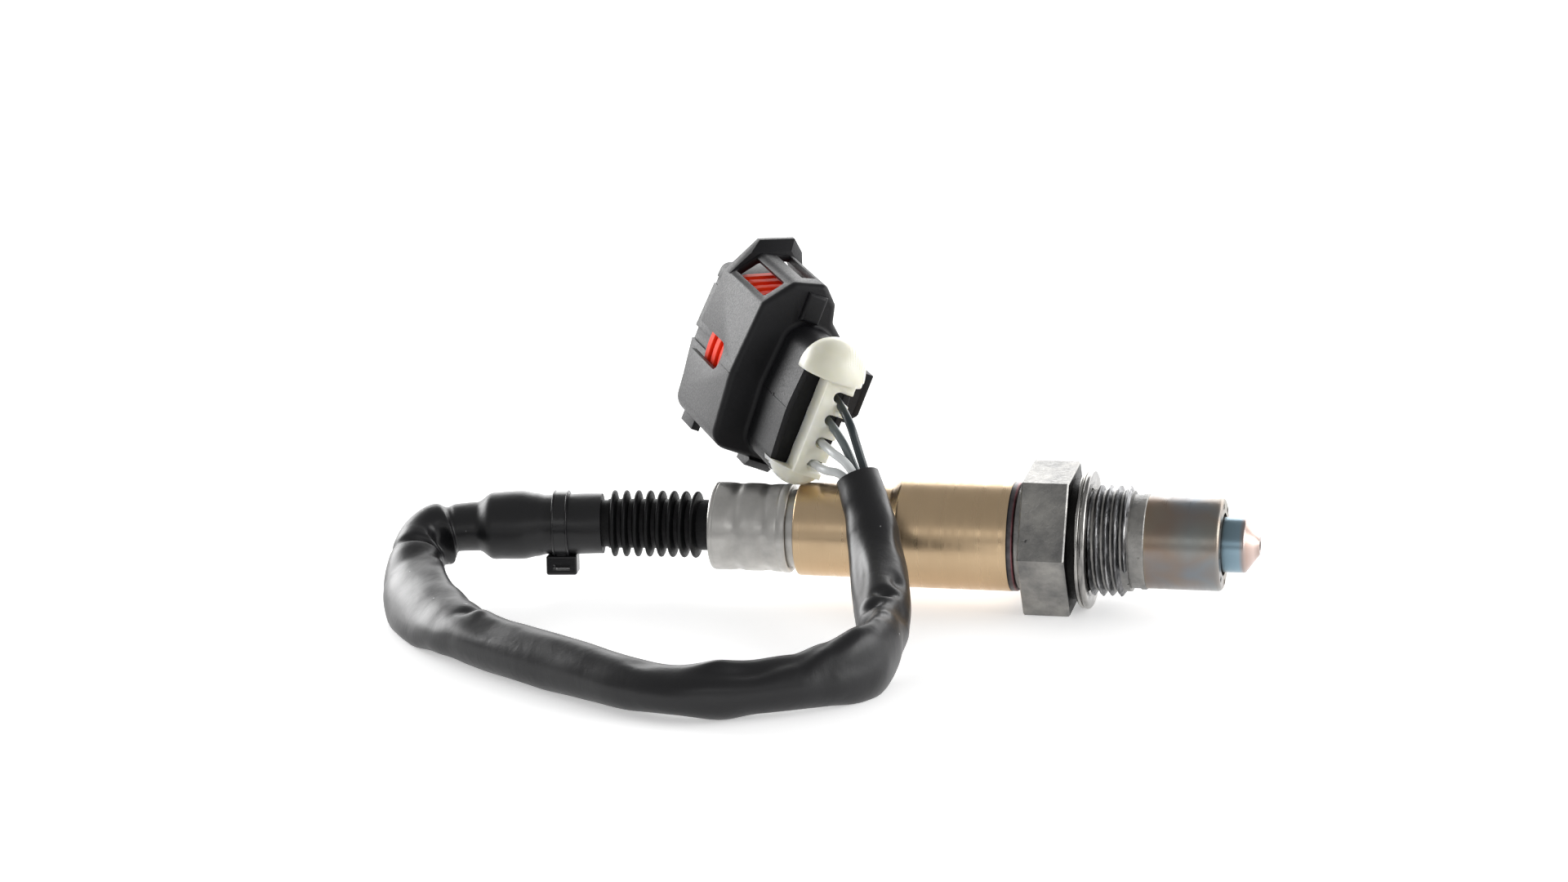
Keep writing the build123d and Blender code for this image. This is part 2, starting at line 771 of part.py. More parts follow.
# Cable sleeve
cuff_skin = make_face(
    Line((0, cable_sleeve_start), (cuff_diameter / 2, cable_sleeve_start))
    + Line((cuff_diameter / 2, cable_sleeve_start), (cuff_diameter / 2, cuff_length))
    + Spline(
        (cuff_diameter / 2, cuff_length),
        (bulge_diameter / 2, bulge_start),
        (bulge_diameter / 2 - 0.05, bulge_end),
        (cable_sleeve_diameter / 2 - 0.1, cuff_end),
        tangents=((0, 1), (0, 1)),
    )
    + Line((cable_sleeve_diameter / 2 - 0.1, cuff_end), (0, cuff_end))
    + Line((0, cuff_end), (0, cable_sleeve_start))
)
cuff_room = make_face(Polyline(
    (0, cable_sleeve_start - 1),
    (tail_diameter / 2, cable_sleeve_start - 1),
    (tail_diameter / 2, tail_barb_start),
    (tail_barb_diameter / 2, tail_barb_start + tail_barb_ramp),
    (tail_barb_diameter / 2, tail_length - tail_barb_ramp),
    (tail_diameter / 2, tail_length),
    (cable_sleeve_diameter / 2 - cable_sleeve_wall, cuff_end),
    (0, cuff_end),
    close=True,
))
tie_start = tie_place - tie_strap_width / 2
tie_end = tie_place + tie_strap_width / 2
tie_groove = make_face(Polyline(
    (tie_groove_diameter / 2, tie_start),
    (bulge_diameter, tie_start),
    (bulge_diameter, tie_end),
    (tie_groove_diameter / 2, tie_end),
    close=True,
))
lead_section = Plane(origin=lead_line @ 0, z_dir=lead_line % 0)
sleeve_skin = sweep(lead_section * Circle(cable_sleeve_diameter / 2), path=lead_line)
sleeve_skin += tail_place.location * revolve(Plane.XZ * cuff_skin, Axis.Z)
sleeve_room = sweep(lead_section * Circle(cable_sleeve_diameter / 2 - cable_sleeve_wall), path=lead_line)
sleeve_room += tail_place.location * revolve(Plane.XZ * cuff_room, Axis.Z)
cable_sleeve = sleeve_skin - sleeve_room
cable_sleeve -= tail_place.location * revolve(Plane.XZ * tie_groove, Axis.Z)

# Cable tie
strap_low = tie_groove_diameter / 2
strap_high = strap_low + tie_strap_thickness
strap_section = make_face(Polyline(
    (strap_low, tie_start),
    (strap_high, tie_start),
    (strap_high, tie_end),
    (strap_low, tie_end),
    close=True,
))
strap = revolve(Plane.XZ * strap_section, Axis.Z)
head = Box(tie_head_height, tie_head_width, tie_head_length)
head = fillet(head.edges(), tie_head_round)
slot_height = tie_strap_thickness + 2 * tie_slot_room
slot_length = tie_strap_width + 2 * tie_slot_room
head_slot = Box(slot_height, tie_head_width + overcut, slot_length)
head_middle = cuff_diameter / 2 + tie_head_gap + tie_head_height / 2
slot_middle = head_middle + tie_slot_out
head = Pos(head_middle, 0, tie_place) * head - Pos(slot_middle, 0, tie_place) * head_slot
stub_length = tie_head_width / 2 + tie_stub_proud
stub = Pos(slot_middle - tie_slot_room, -tie_head_width / 4, tie_place) * Box(
    tie_strap_thickness, stub_length, tie_strap_width
)
cable_tie = tail_place.location * Rot(0, 0, tie_head_angle) * (strap + head + stub)

# Connector frame
connector = Plane(
    origin=(connector_x, connector_y, sleeve_small_diameter / 2 + connector_above_sleeve),
    x_dir=connector_across,
    z_dir=connector_rearward,
)


def outline(corners):
    """A face from (x, y, rounding) corners."""
    face = make_face(Polyline(*[(x, y) for x, y, size in corners], close=True))
    for x, y, size in corners:
        chosen = [v for v in face.vertices() if abs(v.X - x) < 0.01 and abs(v.Y - y) < 0.01]
        face = fillet(chosen, size)
    return face


def between(face, z_low, z_high):
    """A face drawn in the connector's cross plane, raised from one depth to another."""
    return Pos(0, 0, z_low) * extrude(face, z_high - z_low)


# Connector housing
shroud_face = outline(shroud_corners)
tower_face = outline(tower_corners)
core_face = outline(core_corners)
back_inside = shroud_rear - shroud_back_wall
shroud = between(shroud_face, shroud_front, shroud_rear)
shroud = fillet(shroud.faces().sort_by(Axis.Z)[-1].edges(), shroud_back_round)
lip = between(make_face(Polyline(*lip_corners, close=True)), shroud_front, shroud_front + lip_depth)
crown_top = max(y for x, y, size in shroud_corners)
lip_rear = [e for e in lip.faces().sort_by(Axis.Z)[-1].edges() if (e @ 0.5).Y > crown_top]
shroud += chamfer(lip_rear, lip_ramp)
shroud -= between(offset(shroud_face, -shroud_wall), shroud_front - overcut, back_inside)
tower = between(tower_face, shroud_rear - joint_depth, 0)
housing = shroud + tower
tower_half_width = max(x for x, y, size in tower_corners)
tower_top = max(y for x, y, size in tower_corners)
root = [
    e for e in housing.edges()
    if abs(e.center().Z - shroud_rear) < 0.01
    and abs((e @ 0.5).X) < tower_half_width + joint_depth
    and (e @ 0.5).Y < tower_top + joint_depth
]
housing = fillet(root, tower_root_round)

# Core: an open skirt that carries the seal in a groove, with the cavity block inside it
core = between(core_face, core_front, back_inside + joint_depth)
core = chamfer(core.faces().sort_by(Axis.Z)[0].edges(), core_front_chamfer)
seal_seat = offset(core_face, -interface_seal_thickness)
seal_groove = between(core_face, interface_seal_front, back_inside)
core -= seal_groove - between(seal_seat, interface_seal_front, back_inside)
core -= between(offset(seal_seat, -core_wall), core_front - overcut, back_inside)
core_half_width = max(abs(x) for x, y, size in core_corners)
for groove_y, groove_width in core_grooves:
    for side in (-1, 1):
        groove = block(
            core_half_width - core_groove_depth, core_half_width + overcut,
            groove_y - groove_width / 2, groove_y + groove_width / 2,
            core_front - overcut, interface_seal_front - core_groove_depth,
        )
        core -= groove if side > 0 else mirror(groove, Plane.YZ)
core += block(
    cavity_block_left, cavity_block_right,
    cavity_block_bottom, cavity_block_top,
    cavity_block_front, back_inside + joint_depth,
)
housing += core
guard_block = block(
    guard_block_left, guard_block_right,
    guard_block_bottom, guard_block_top,
    shroud_rear - shroud_back_wall / 2, shroud_rear + guard_block_proud,
)
housing += fillet(guard_block.faces().sort_by(Axis.Z)[-1].edges(), guard_block_round)
for side in (-1, 1):
    housing += block(
        side * foot_x - foot_width / 2, side * foot_x + foot_width / 2,
        shroud_bottom - foot_height, shroud_bottom + shroud_wall / 2,
        shroud_front + foot_from_front, shroud_front + foot_from_front + foot_length,
    )
rail_start = shroud_rear - clip_rail_from_rear - clip_rail_length
rail_root = shroud_half_width - shroud_wall
rail_face = make_face(Polyline(
    (rail_root, clip_rail_bottom),
    (clip_rail_reach - clip_rail_bevel, clip_rail_bottom),
    (clip_rail_reach, clip_rail_bottom + clip_rail_bevel),
    (clip_rail_reach, clip_rail_top),
    (rail_root, clip_rail_top),
    close=True,
))
rail = between(rail_face, rail_start, rail_start + clip_rail_length)
groove_step = (clip_rail_top - clip_rail_bottom) / (clip_rail_grooves + 1)
for number in range(clip_rail_grooves):
    groove_y = clip_rail_bottom + groove_step * (number + 1)
    rail -= block(
        clip_rail_reach - clip_rail_groove_depth, clip_rail_reach + overcut,
        groove_y - clip_rail_groove_width / 2, groove_y + clip_rail_groove_width / 2,
        rail_start + clip_rail_groove_width, 0,
    )
housing += rail - between(offset(shroud_face, -shroud_wall / 2), shroud_front, shroud_rear)
ramp_profile = Polyline(
    (shroud_rear - clip_ramp_length, shroud_bottom + 0.4),
    (shroud_rear - clip_ramp_length, shroud_bottom - clip_ramp_height),
    (shroud_rear - 1.5, shroud_bottom - clip_ramp_height),
    (shroud_rear, shroud_bottom - 0.2),
    (shroud_rear - 1.5, shroud_bottom + 0.4),
    close=True,
)
ramp_face = make_face(Plane(origin=(0, 0, 0), x_dir=(0, 0, 1), z_dir=(-1, 0, 0)) * ramp_profile)
housing += extrude(ramp_face, clip_ramp_width / 2, both=True)

# Openings of the connector housing
slot_bottom = side_slot_y - side_slot_width / 2
slot_top = side_slot_y + side_slot_width / 2
slot_end = shroud_front + side_slot_length - side_slot_width / 2
slot_inside = shroud_half_width - 2 * shroud_wall
slot_outside = clip_rail_reach + overcut
slot = block(slot_inside, slot_outside, slot_bottom, slot_top, shroud_front - overcut, slot_end)
slot_round = Rot(0, 90, 0) * Cylinder(side_slot_width / 2, slot_outside - slot_inside)
slot += Pos((slot_inside + slot_outside) / 2, side_slot_y, slot_end) * slot_round
housing -= slot
housing -= mirror(slot, Plane.YZ)
window_low = shroud_corners[8]
window_high = shroud_corners[7]
window_turn = degrees(atan2(window_high[1] - window_low[1], window_high[0] - window_low[0]))
window = fillet(Box(window_width, window_depth, window_length).edges().filter_by(Axis.Y), window_round)
housing -= Pos(
    (window_low[0] + window_high[0]) / 2,
    (window_low[1] + window_high[1]) / 2,
    shroud_front + window_from_front + window_length / 2,
) * Rot(0, 0, window_turn) * window
guard_slot_middle = shroud_front + guard_slot_from_front + guard_slot_length / 2
crown_low = shroud_corners[7]
crown_high = shroud_corners[6]
crown_slope = (crown_high[1] - crown_low[1]) / (crown_high[0] - crown_low[0])
guard_slot_y = crown_low[1] + crown_slope * (guard_slot_x - crown_low[0])
guard_slot_turn = degrees(atan2(crown_slope, 1))
guard_slot = Box(guard_slot_width, guard_slot_depth, guard_slot_length)
housing -= Pos(guard_slot_x, guard_slot_y, guard_slot_middle) * Rot(0, 0, guard_slot_turn) * guard_slot
recess_face = offset(tower_face, -tower_wall)
recess_floor = -mat_seal_sunk - mat_seal_thickness
housing -= between(recess_face, recess_floor, overcut)
cavity_places = [cavity_row_y + wire_pitch * (number - 1.5) for number in range(4)]
for y in cavity_places:
    housing -= block(
        cavity_row_x - cavity_width / 2, cavity_row_x + cavity_width / 2,
        y - cavity_width / 2, y + cavity_width / 2,
        cavity_block_front - overcut, cavity_rear,
    )
    housing -= Pos(cavity_row_x, y, cavity_rear) * Cylinder(wire_hole_diameter / 2, -2 * cavity_rear)

# Interface seal, a ribbed ring in the core's groove
interface_seal = between(core_face, interface_seal_front, interface_seal_rear)
ridge_face = offset(core_face, interface_seal_ridge)
ridge_half = interface_seal_ridge_width / 2
ridge_step = (interface_seal_rear - interface_seal_front) / interface_seal_ridges
for number in range(interface_seal_ridges):
    middle = interface_seal_front + ridge_step * (number + 0.5)
    ridge = between(ridge_face, middle - ridge_half, middle + ridge_half)
    rims = ridge.faces().sort_by(Axis.Z)[0].edges() + ridge.faces().sort_by(Axis.Z)[-1].edges()
    interface_seal += fillet(rims, interface_seal_ridge_round)
interface_seal -= between(seal_seat, interface_seal_front - overcut, interface_seal_rear + overcut)

# Mat seal in the tower
wire_mat_seal = between(recess_face, recess_floor, recess_floor + mat_seal_thickness)
for y in cavity_places:
    wire_mat_seal -= Pos(cavity_row_x, y, 0) * Cylinder(mat_seal_grip / 2, 4 * mat_seal_thickness)

# Wire comb: a notched bar with a domed cap and a foot that clip round the ends of the tower
comb_bar_bottom = comb_foot_chord_y - comb_overlap
comb_bar_top = comb_cap_chord_y + comb_overlap
tower_room = between(offset(tower_face, comb_gap), shroud_rear, comb_gap)


def dome(center_y, radius, chord_y, reach, upward):
    """A half dome behind the tower, with a short skirt round it, on one side of a chord."""
    ball = Pos(0, center_y, 0) * Sphere(radius)
    ball -= block(-radius, radius, center_y - radius, center_y + radius, -radius, 0)
    ball += between(Pos(0, center_y) * Circle(radius), -reach, 0)
    far = center_y + 2 * radius * upward
    half = block(-radius, radius, min(chord_y, far), max(chord_y, far), -radius, radius)
    return (ball & half) - tower_room


wire_comb = block(comb_bar_left, comb_bar_right, comb_bar_bottom, comb_bar_top, comb_gap, comb_thickness)
wire_comb += dome(comb_cap_center_y, comb_cap_radius, comb_cap_chord_y, comb_cap_reach, 1)
wire_comb += dome(comb_foot_center_y, comb_foot_radius, comb_foot_chord_y, comb_foot_reach, -1)
for y in cavity_places:
    wire_comb -= block(
        cavity_row_x, comb_cap_radius + overcut,
        y - comb_notch_width / 2, y + comb_notch_width / 2,
        comb_gap - overcut, comb_cap_radius + overcut,
    )
    wire_comb -= Pos(cavity_row_x, y, 0) * Cylinder(comb_notch_width / 2, 4 * comb_cap_radius)

# Terminals
terminals = []
box_rear = wire_end - terminal_crimp_length - terminal_neck
box_front = box_rear - terminal_box_length
for y in cavity_places:
    crimp = Pos(0, 0, wire_end - terminal_crimp_length / 2 + 1.2) * Cylinder(
        terminal_crimp_diameter / 2, terminal_crimp_length
    )
    crimp -= Pos(0, 0, wire_end + 5) * Cylinder(wire_diameter / 2, 10)
    neck = block(-0.5, 0.5, -0.35, 0.35, box_rear - 0.2, wire_end - terminal_crimp_length + 1.5)
    box = block(-terminal_box / 2, terminal_box / 2, -terminal_box / 2, terminal_box / 2, box_front, box_rear)
    blade = block(
        -blade_width / 2, blade_width / 2,
        -blade_thickness / 2, blade_thickness / 2,
        box_front - blade_length, box_front + 0.2,
    )
    blade = chamfer(blade.faces().sort_by(Axis.Z)[0].edges(), 0.2)
    terminals.append(Pos(cavity_row_x, y, 0) * (crimp + neck + box + blade))

# Wires, each one solid from its spring to its terminal
bellows_corner = (bellows_start - bend_radius * tan(bend_angle / 2), 0, 0)
mouth_run = (Vector(*lead_corners[-1]) - Vector(*lead_corners[-2])).normalized()
fan_corner = tuple(Vector(*lead_corners[-1]) + mouth_run * lead_to_fan)
bundle = [(wire_start, 0, 0), bellows_corner, tuple(first_corner), *lead_corners[:-1], fan_corner]
wire_names = ("wire_black", "wire_grey", "wire_white_1", "wire_white_2")
wires = []
for number, name in enumerate(wire_names):
    side_y, side_z = wire_sides[number]
    y = cavity_places[-1 - number]
    route = beside(bundle, side_y, side_z)
    route.append(tuple(connector.from_local_coords(Vector(cavity_row_x, y, wire_turn))))
    route.append(tuple(connector.from_local_coords(Vector(cavity_row_x, y, wire_end))))
    wires.append(cord(route, wire_diameter))
    line = cord_line(route)
    radii = bend_radii(route)
    section = wire_diameter ** 2 * 0.7854
    print(name, "length", round(line.length, 1), "radii", [round(r, 1) for r in radii])
    print("  volume", round(wires[-1].volume, 2), "section by length", round(section * line.length, 2))
    print("  route", [tuple(round(v, 2) for v in p) for p in route])

radii = bend_radii(lead_points)
tube_section = (cable_sleeve_diameter ** 2 - (cable_sleeve_diameter - 2 * cable_sleeve_wall) ** 2) * 0.7854
print("cable_sleeve length", round(lead_line.length, 1), "radii", [round(r, 1) for r in radii])
tube_volume = tube_section * lead_line.length
print("  volume", round(cable_sleeve.volume, 1), "section by length", round(tube_volume, 1))
print("  route", [tuple(round(v, 2) for v in p) for p in lead_points])

# One STEP file for each piece
pieces = {
    "sensor_housing": sensor_housing,
    "captive_gasket": captive_gasket,
    "outer_protection_tube": outer_protection_tube,
    "inner_protection_tube": inner_protection_tube,
    "sensing_element": sensing_element,
    "front_ceramic_bush": front_ceramic_bush,
    "packing_ring": packing_ring,
    "rear_ceramic_bush": rear_ceramic_bush,
    "retaining_ring": retaining_ring,
    "outer_sleeve": outer_sleeve,
    "weld_bead": weld_bead,
    "crimp_ferrule": crimp_ferrule,
    "contact_holder": contact_holder,
    "bellows_boot": bellows_boot,
    "cable_sleeve": cable_sleeve,
    "cable_tie": cable_tie,
    "connector_housing": connector.location * housing,
    "interface_seal": connector.location * interface_seal,
    "wire_mat_seal": connector.location * wire_mat_seal,
    "wire_comb": connector.location * wire_comb,
}
for number, spring in enumerate(contact_springs):
    pieces[f"contact_spring_{number + 1}"] = spring
for number, terminal in enumerate(reversed(terminals)):
    pieces[f"terminal_{number + 1}"] = connector.location * terminal
for name, wire in zip(wire_names, wires):
    pieces[name] = wire
for name, piece in pieces.items():
    export_step(piece, f"parts/{name}.step")
    print(name, "solids", len(piece.solids()), "valid", piece.is_valid, "volume", round(piece.volume, 2))
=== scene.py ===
from math import atan2, cos, exp, floor, hypot, radians, sin, tau

import bpy
from mathutils import Matrix, Vector, noise


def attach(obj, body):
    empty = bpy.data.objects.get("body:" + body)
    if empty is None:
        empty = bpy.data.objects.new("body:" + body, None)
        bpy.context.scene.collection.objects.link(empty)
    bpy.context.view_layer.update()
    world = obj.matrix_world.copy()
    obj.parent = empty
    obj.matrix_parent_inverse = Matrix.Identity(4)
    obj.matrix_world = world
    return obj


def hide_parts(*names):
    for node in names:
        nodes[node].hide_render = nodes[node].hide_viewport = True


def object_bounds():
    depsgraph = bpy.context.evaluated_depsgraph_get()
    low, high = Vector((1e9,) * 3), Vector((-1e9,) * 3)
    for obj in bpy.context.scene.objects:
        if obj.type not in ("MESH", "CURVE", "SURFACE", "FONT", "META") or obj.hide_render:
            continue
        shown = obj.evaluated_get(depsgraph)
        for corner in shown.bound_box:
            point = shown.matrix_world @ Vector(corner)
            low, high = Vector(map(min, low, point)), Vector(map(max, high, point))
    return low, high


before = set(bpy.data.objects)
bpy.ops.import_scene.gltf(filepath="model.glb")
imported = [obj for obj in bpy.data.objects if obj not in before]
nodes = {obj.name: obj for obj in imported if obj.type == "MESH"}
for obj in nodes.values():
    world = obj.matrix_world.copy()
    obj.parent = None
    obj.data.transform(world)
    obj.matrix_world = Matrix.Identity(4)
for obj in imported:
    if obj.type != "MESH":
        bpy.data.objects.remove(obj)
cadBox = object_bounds()
mm = 0.001

# view, light and floor

camera = dict(
    azimuth=12.4, elevation=16.15, roll=-1.55,
    lens=112.5, sensor=36.0, distance=781.4, clipStart=0.05,
    frameWidth=1920, frameHeight=1080,
    # a point of the axis, and where it falls in the frame
    aim=(-3.0, 0.0, 0.0), aimAcross=1317.0, aimDown=659.8,
)


def placeCamera():
    azimuth, elevation, roll = (radians(camera[k]) for k in ("azimuth", "elevation", "roll"))
    toward = Vector((sin(azimuth) * cos(elevation), -cos(azimuth) * cos(elevation), sin(elevation)))
    level = Vector((cos(azimuth), sin(azimuth), 0))
    upright = toward.cross(level)
    right = level * cos(roll) + upright * sin(roll)
    up = upright * cos(roll) - level * sin(roll)
    perPixel = camera["sensor"] / camera["lens"] / camera["frameWidth"] * camera["distance"]
    place = Vector(camera["aim"]) + toward * camera["distance"]
    place -= right * (camera["aimAcross"] - camera["frameWidth"] / 2) * perPixel
    place += up * (camera["aimDown"] - camera["frameHeight"] / 2) * perPixel
    turn = Matrix((right, up, toward)).transposed().to_euler()
    bpy.ops.object.camera_add(location=place * mm, rotation=turn)
    eye = bpy.context.object
    eye.data.lens = camera["lens"]
    eye.data.sensor_width = camera["sensor"]
    eye.data.clip_start = camera["clipStart"]
    bpy.context.scene.camera = eye


studio = dict(
    floorSize=6.0, floorColour=(0.95, 0.95, 0.95, 1), floorRoughness=0.9, floorGlow=0.4,
    skyColour=(1.0, 1.0, 1.0, 1), skyStrength=0.42, tone="Standard",
    # name, place, aims at, width, height, watts
    lamps=(
        ("backSoftbox", (0.0, 1.3, 0.46), (0.0, 0.0, 0.46), 3.0, 0.9, 27.0),
        ("leftSoftbox", (-1.2, 0.5, 0.40), (0.0, 0.0, 0.20), 0.9, 0.6, 15.0),
        ("rightSoftbox", (1.2, 0.0, 0.45), (0.0, 0.0, 0.30), 1.2, 0.8, 15.0),
        ("frontFill", (0.25, -1.3, 0.52), (0.0, 0.0, 0.0), 1.2, 0.35, 1.5),
    ),
)


def buildStudio():
    bpy.ops.mesh.primitive_plane_add(size=studio["floorSize"], location=(0, 0, cadBox[0].z))
    floorPlane = bpy.context.object
    floorPlane.name = "floor"
    paper = bpy.data.materials.new("floorPaper")
    paper.use_nodes = True
    shader = paper.node_tree.nodes["Principled BSDF"]
    shader.inputs["Base Color"].default_value = studio["floorColour"]
    shader.inputs["Roughness"].default_value = studio["floorRoughness"]
    shader.inputs["Emission Color"].default_value = (1, 1, 1, 1)
    shader.inputs["Emission Strength"].default_value = studio["floorGlow"]
    floorPlane.data.materials.append(paper)
    for name, place, aim, width, height, watts in studio["lamps"]:
        turn = (Vector(place) - Vector(aim)).to_track_quat("Z", "Y").to_euler()
        bpy.ops.object.light_add(type="AREA", location=place, rotation=turn)
        lamp = bpy.context.object
        lamp.name = name
        lamp.data.shape = "RECTANGLE"
        lamp.data.size = width
        lamp.data.size_y = height
        lamp.data.energy = watts
    world = bpy.data.worlds.new("studioAir")
    bpy.context.scene.world = world
    world.use_nodes = True
    sky = world.node_tree.nodes["Background"]
    sky.inputs["Color"].default_value = studio["skyColour"]
    sky.inputs["Strength"].default_value = studio["skyStrength"]
    bpy.context.scene.view_settings.view_transform = studio["tone"]


placeCamera()
buildStudio()
print("camera, lamps and floor")


# material building blocks

def startMaterial(name, colour, roughness, metallic=0.0, specular=0.5):
    material = bpy.data.materials.new(name)
    material.use_nodes = True
    shader = material.node_tree.nodes["Principled BSDF"]
    shader.inputs["Base Color"].default_value = (*colour, 1)
    shader.inputs["Roughness"].default_value = roughness
    shader.inputs["Metallic"].default_value = metallic
    shader.inputs["Specular IOR Level"].default_value = specular
    return material


def objectPlace(material, stretch=(1, 1, 1)):
    tree = material.node_tree
    place = tree.nodes.new("ShaderNodeTexCoord")
    mapping = tree.nodes.new("ShaderNodeMapping")
    mapping.inputs["Scale"].default_value = stretch
    tree.links.new(place.outputs["Object"], mapping.inputs["Vector"])
    return mapping.outputs["Vector"]


def noisePattern(material, scale, detail, rough, stretch=(1, 1, 1), distortion=0.0):
    pattern = material.node_tree.nodes.new("ShaderNodeTexNoise")
    pattern.inputs["Scale"].default_value = scale
    pattern.inputs["Detail"].default_value = detail
    pattern.inputs["Roughness"].default_value = rough
    pattern.inputs["Distortion"].default_value = distortion
    material.node_tree.links.new(objectPlace(material, stretch), pattern.inputs["Vector"])
    return pattern.outputs["Fac"]


def rampOf(material, factor, *stops):
    ramp = material.node_tree.nodes.new("ShaderNodeValToRGB")
    marks = ramp.color_ramp.elements
    while len(marks) < len(stops):
        marks.new(0.5)
    for mark, (position, colour) in zip(marks, stops):
        mark.position = position
        mark.color = (*colour, 1) if len(colour) == 3 else (colour[0],) * 3 + (1,)
    material.node_tree.links.new(factor, ramp.inputs["Fac"])
    return ramp.outputs["Color"]


def mixOf(material, factor, first, second, mode="MIX"):
    mix = material.node_tree.nodes.new("ShaderNodeMix")
    mix.data_type = "RGBA"
    mix.blend_type = mode
    # sockets 0, 6 and 7 take the factor and the two colours
    for socket, value in ((mix.inputs[0], factor), (mix.inputs[6], first), (mix.inputs[7], second)):
        if isinstance(value, bpy.types.NodeSocket):
            material.node_tree.links.new(value, socket)
        else:
            socket.default_value = value if isinstance(value, float) else (*value, 1)
    return mix.outputs[2]


def paint(material, socketName, value):
    material.node_tree.links.new(value, material.node_tree.nodes["Principled BSDF"].inputs[socketName])


def relief(material, *layers):
    # each layer is a height and its depth in metres
    tree = material.node_tree
    below = None
    for height, depth in layers:
        bump = tree.nodes.new("ShaderNodeBump")
        bump.inputs["Distance"].default_value = depth
        tree.links.new(height, bump.inputs["Height"])
        if below:
            tree.links.new(below, bump.inputs["Normal"])
        below = bump.outputs["Normal"]
    paint(material, "Normal", below)


def along(material, low, high):
    # 0 to 1 between two stations of the sensor's axis, in millimetres
    tree = material.node_tree
    parts = tree.nodes.new("ShaderNodeSeparateXYZ")
    tree.links.new(objectPlace(material), parts.inputs["Vector"])
    span = tree.nodes.new("ShaderNodeMapRange")
    span.inputs["From Min"].default_value = low * mm
    span.inputs["From Max"].default_value = high * mm
    tree.links.new(parts.outputs["X"], span.inputs["Value"])
    return span.outputs["Result"]


# materials

bronze = dict(light=(0.62, 0.46, 0.29), dark=(0.46, 0.33, 0.20), roughness=0.28, grain=0.000008)


def bronzeMaterial():
    material = startMaterial("bronzeSteel", bronze["light"], roughness=bronze["roughness"], metallic=1.0)
    grain = noisePattern(material, scale=900, detail=3, rough=0.6, stretch=(1, 0.02, 0.02))
    cloud = noisePattern(material, scale=60, detail=3, rough=0.6)
    colour = rampOf(material, cloud, (0.3, bronze["dark"]), (0.62, bronze["light"]))
    paint(material, "Base Color", mixOf(material, 0.35, bronze["light"], colour))
    paint(material, "Roughness", rampOf(material, grain, (0.3, (0.24,)), (0.7, (0.4,))))
    relief(material, (grain, bronze["grain"]))
    return material


brightSteel = dict(light=(0.60, 0.59, 0.565), satin=(0.48, 0.47, 0.45), dark=(0.30, 0.295, 0.285))


def ferruleMaterial():
    material = startMaterial("ferruleSteel", brightSteel["light"], roughness=0.36, metallic=1.0)
    grain = noisePattern(material, scale=900, detail=3, rough=0.6, stretch=(0.06, 1, 1))
    cloud = noisePattern(material, scale=230, detail=4, rough=0.6)
    colour = rampOf(material, cloud, (0.3, brightSteel["dark"]), (0.6, brightSteel["light"]))
    paint(material, "Base Color", mixOf(material, 0.35, brightSteel["satin"], colour))
    paint(material, "Roughness", rampOf(material, cloud, (0.3, (0.46,)), (0.7, (0.32,))))
    relief(material, (grain, 0.00001), (cloud, 0.00003))
    return material


# soot: the stretch of the axis, in millimetres, darkened by painted shade between the hexagon and the
# gasket
forged = dict(light=(0.36, 0.35, 0.33), dark=(0.15, 0.15, 0.15), paintedShade=(-3.04, 0.0))


def forgedMaterial():
    material = startMaterial("forgedSteel", forged["dark"], roughness=0.4, metallic=1.0)
    cloud = noisePattern(material, scale=210, detail=5, rough=0.62)
    leather = noisePattern(material, scale=1400, detail=4, rough=0.55, distortion=1.2)
    nicks = noisePattern(material, scale=520, detail=2, rough=0.5, stretch=(1, 0.6, 1.6))
    colour = rampOf(material, cloud, (0.3, forged["dark"]), (0.7, forged["light"]))
    dark = rampOf(material, nicks, (0.24, (0.25,)), (0.29, (1,)))
    # painted shade on the face in front of the hexagon, behind the gasket, where the hexagon's front lies
    # in shadow
    paintedShade = rampOf(
        material, along(material, *forged["paintedShade"]),
        (0.0, (1,)), (0.01, (0.07,)), (0.6, (0.07,)), (0.65, (1,)),
    )
    spotted = mixOf(material, 1.0, colour, dark, "MULTIPLY")
    # the spotted colour, darkened by the painted shade before the gasket
    paint(material, "Base Color", mixOf(material, 1.0, spotted, paintedShade, "MULTIPLY"))
    paint(material, "Roughness", rampOf(material, leather, (0.3, (0.48,)), (0.7, (0.34,))))
    relief(material, (cloud, 0.00008), (leather, 0.00006), (dark, 0.00005))
    return material


def threadMaterial():
    # dark anti-seize paste dragged round the thread
    material = startMaterial("greasedThread", (0.16, 0.16, 0.165), roughness=0.38, metallic=1.0)
    drag = noisePattern(material, scale=1500, detail=4, rough=0.65, stretch=(1, 0.12, 0.12), distortion=0.4)
    lumps = noisePattern(material, scale=900, detail=3, rough=0.6)
    colour = rampOf(
        material, drag,
        (0.34, (0.035, 0.037, 0.04)), (0.52, (0.15, 0.15, 0.155)), (0.68, (0.55, 0.55, 0.55)),
    )
    paint(material, "Base Color", colour)
    paint(material, "Roughness", rampOf(material, lumps, (0.3, (0.25,)), (0.7, (0.5,))))
    relief(material, (drag, 0.00022), (lumps, 0.00006))
    return material


def gasketMaterial():
    material = startMaterial("gasketSteel", (0.72, 0.7, 0.67), roughness=0.25, metallic=1.0)
    scratches = noisePattern(material, scale=700, detail=3, rough=0.6, stretch=(1, 0.2, 0.2))
    colour = rampOf(material, scratches, (0.35, (0.20, 0.195, 0.19)), (0.6, (0.46, 0.45, 0.43)))
    paint(material, "Base Color", colour)
    relief(material, (scratches, 0.00003))
    return material


heatTint = dict(
    brown=(0.24, 0.175, 0.13), wine=(0.22, 0.165, 0.15), steel=(0.20, 0.22, 0.24), olive=(0.25, 0.25, 0.21),
)


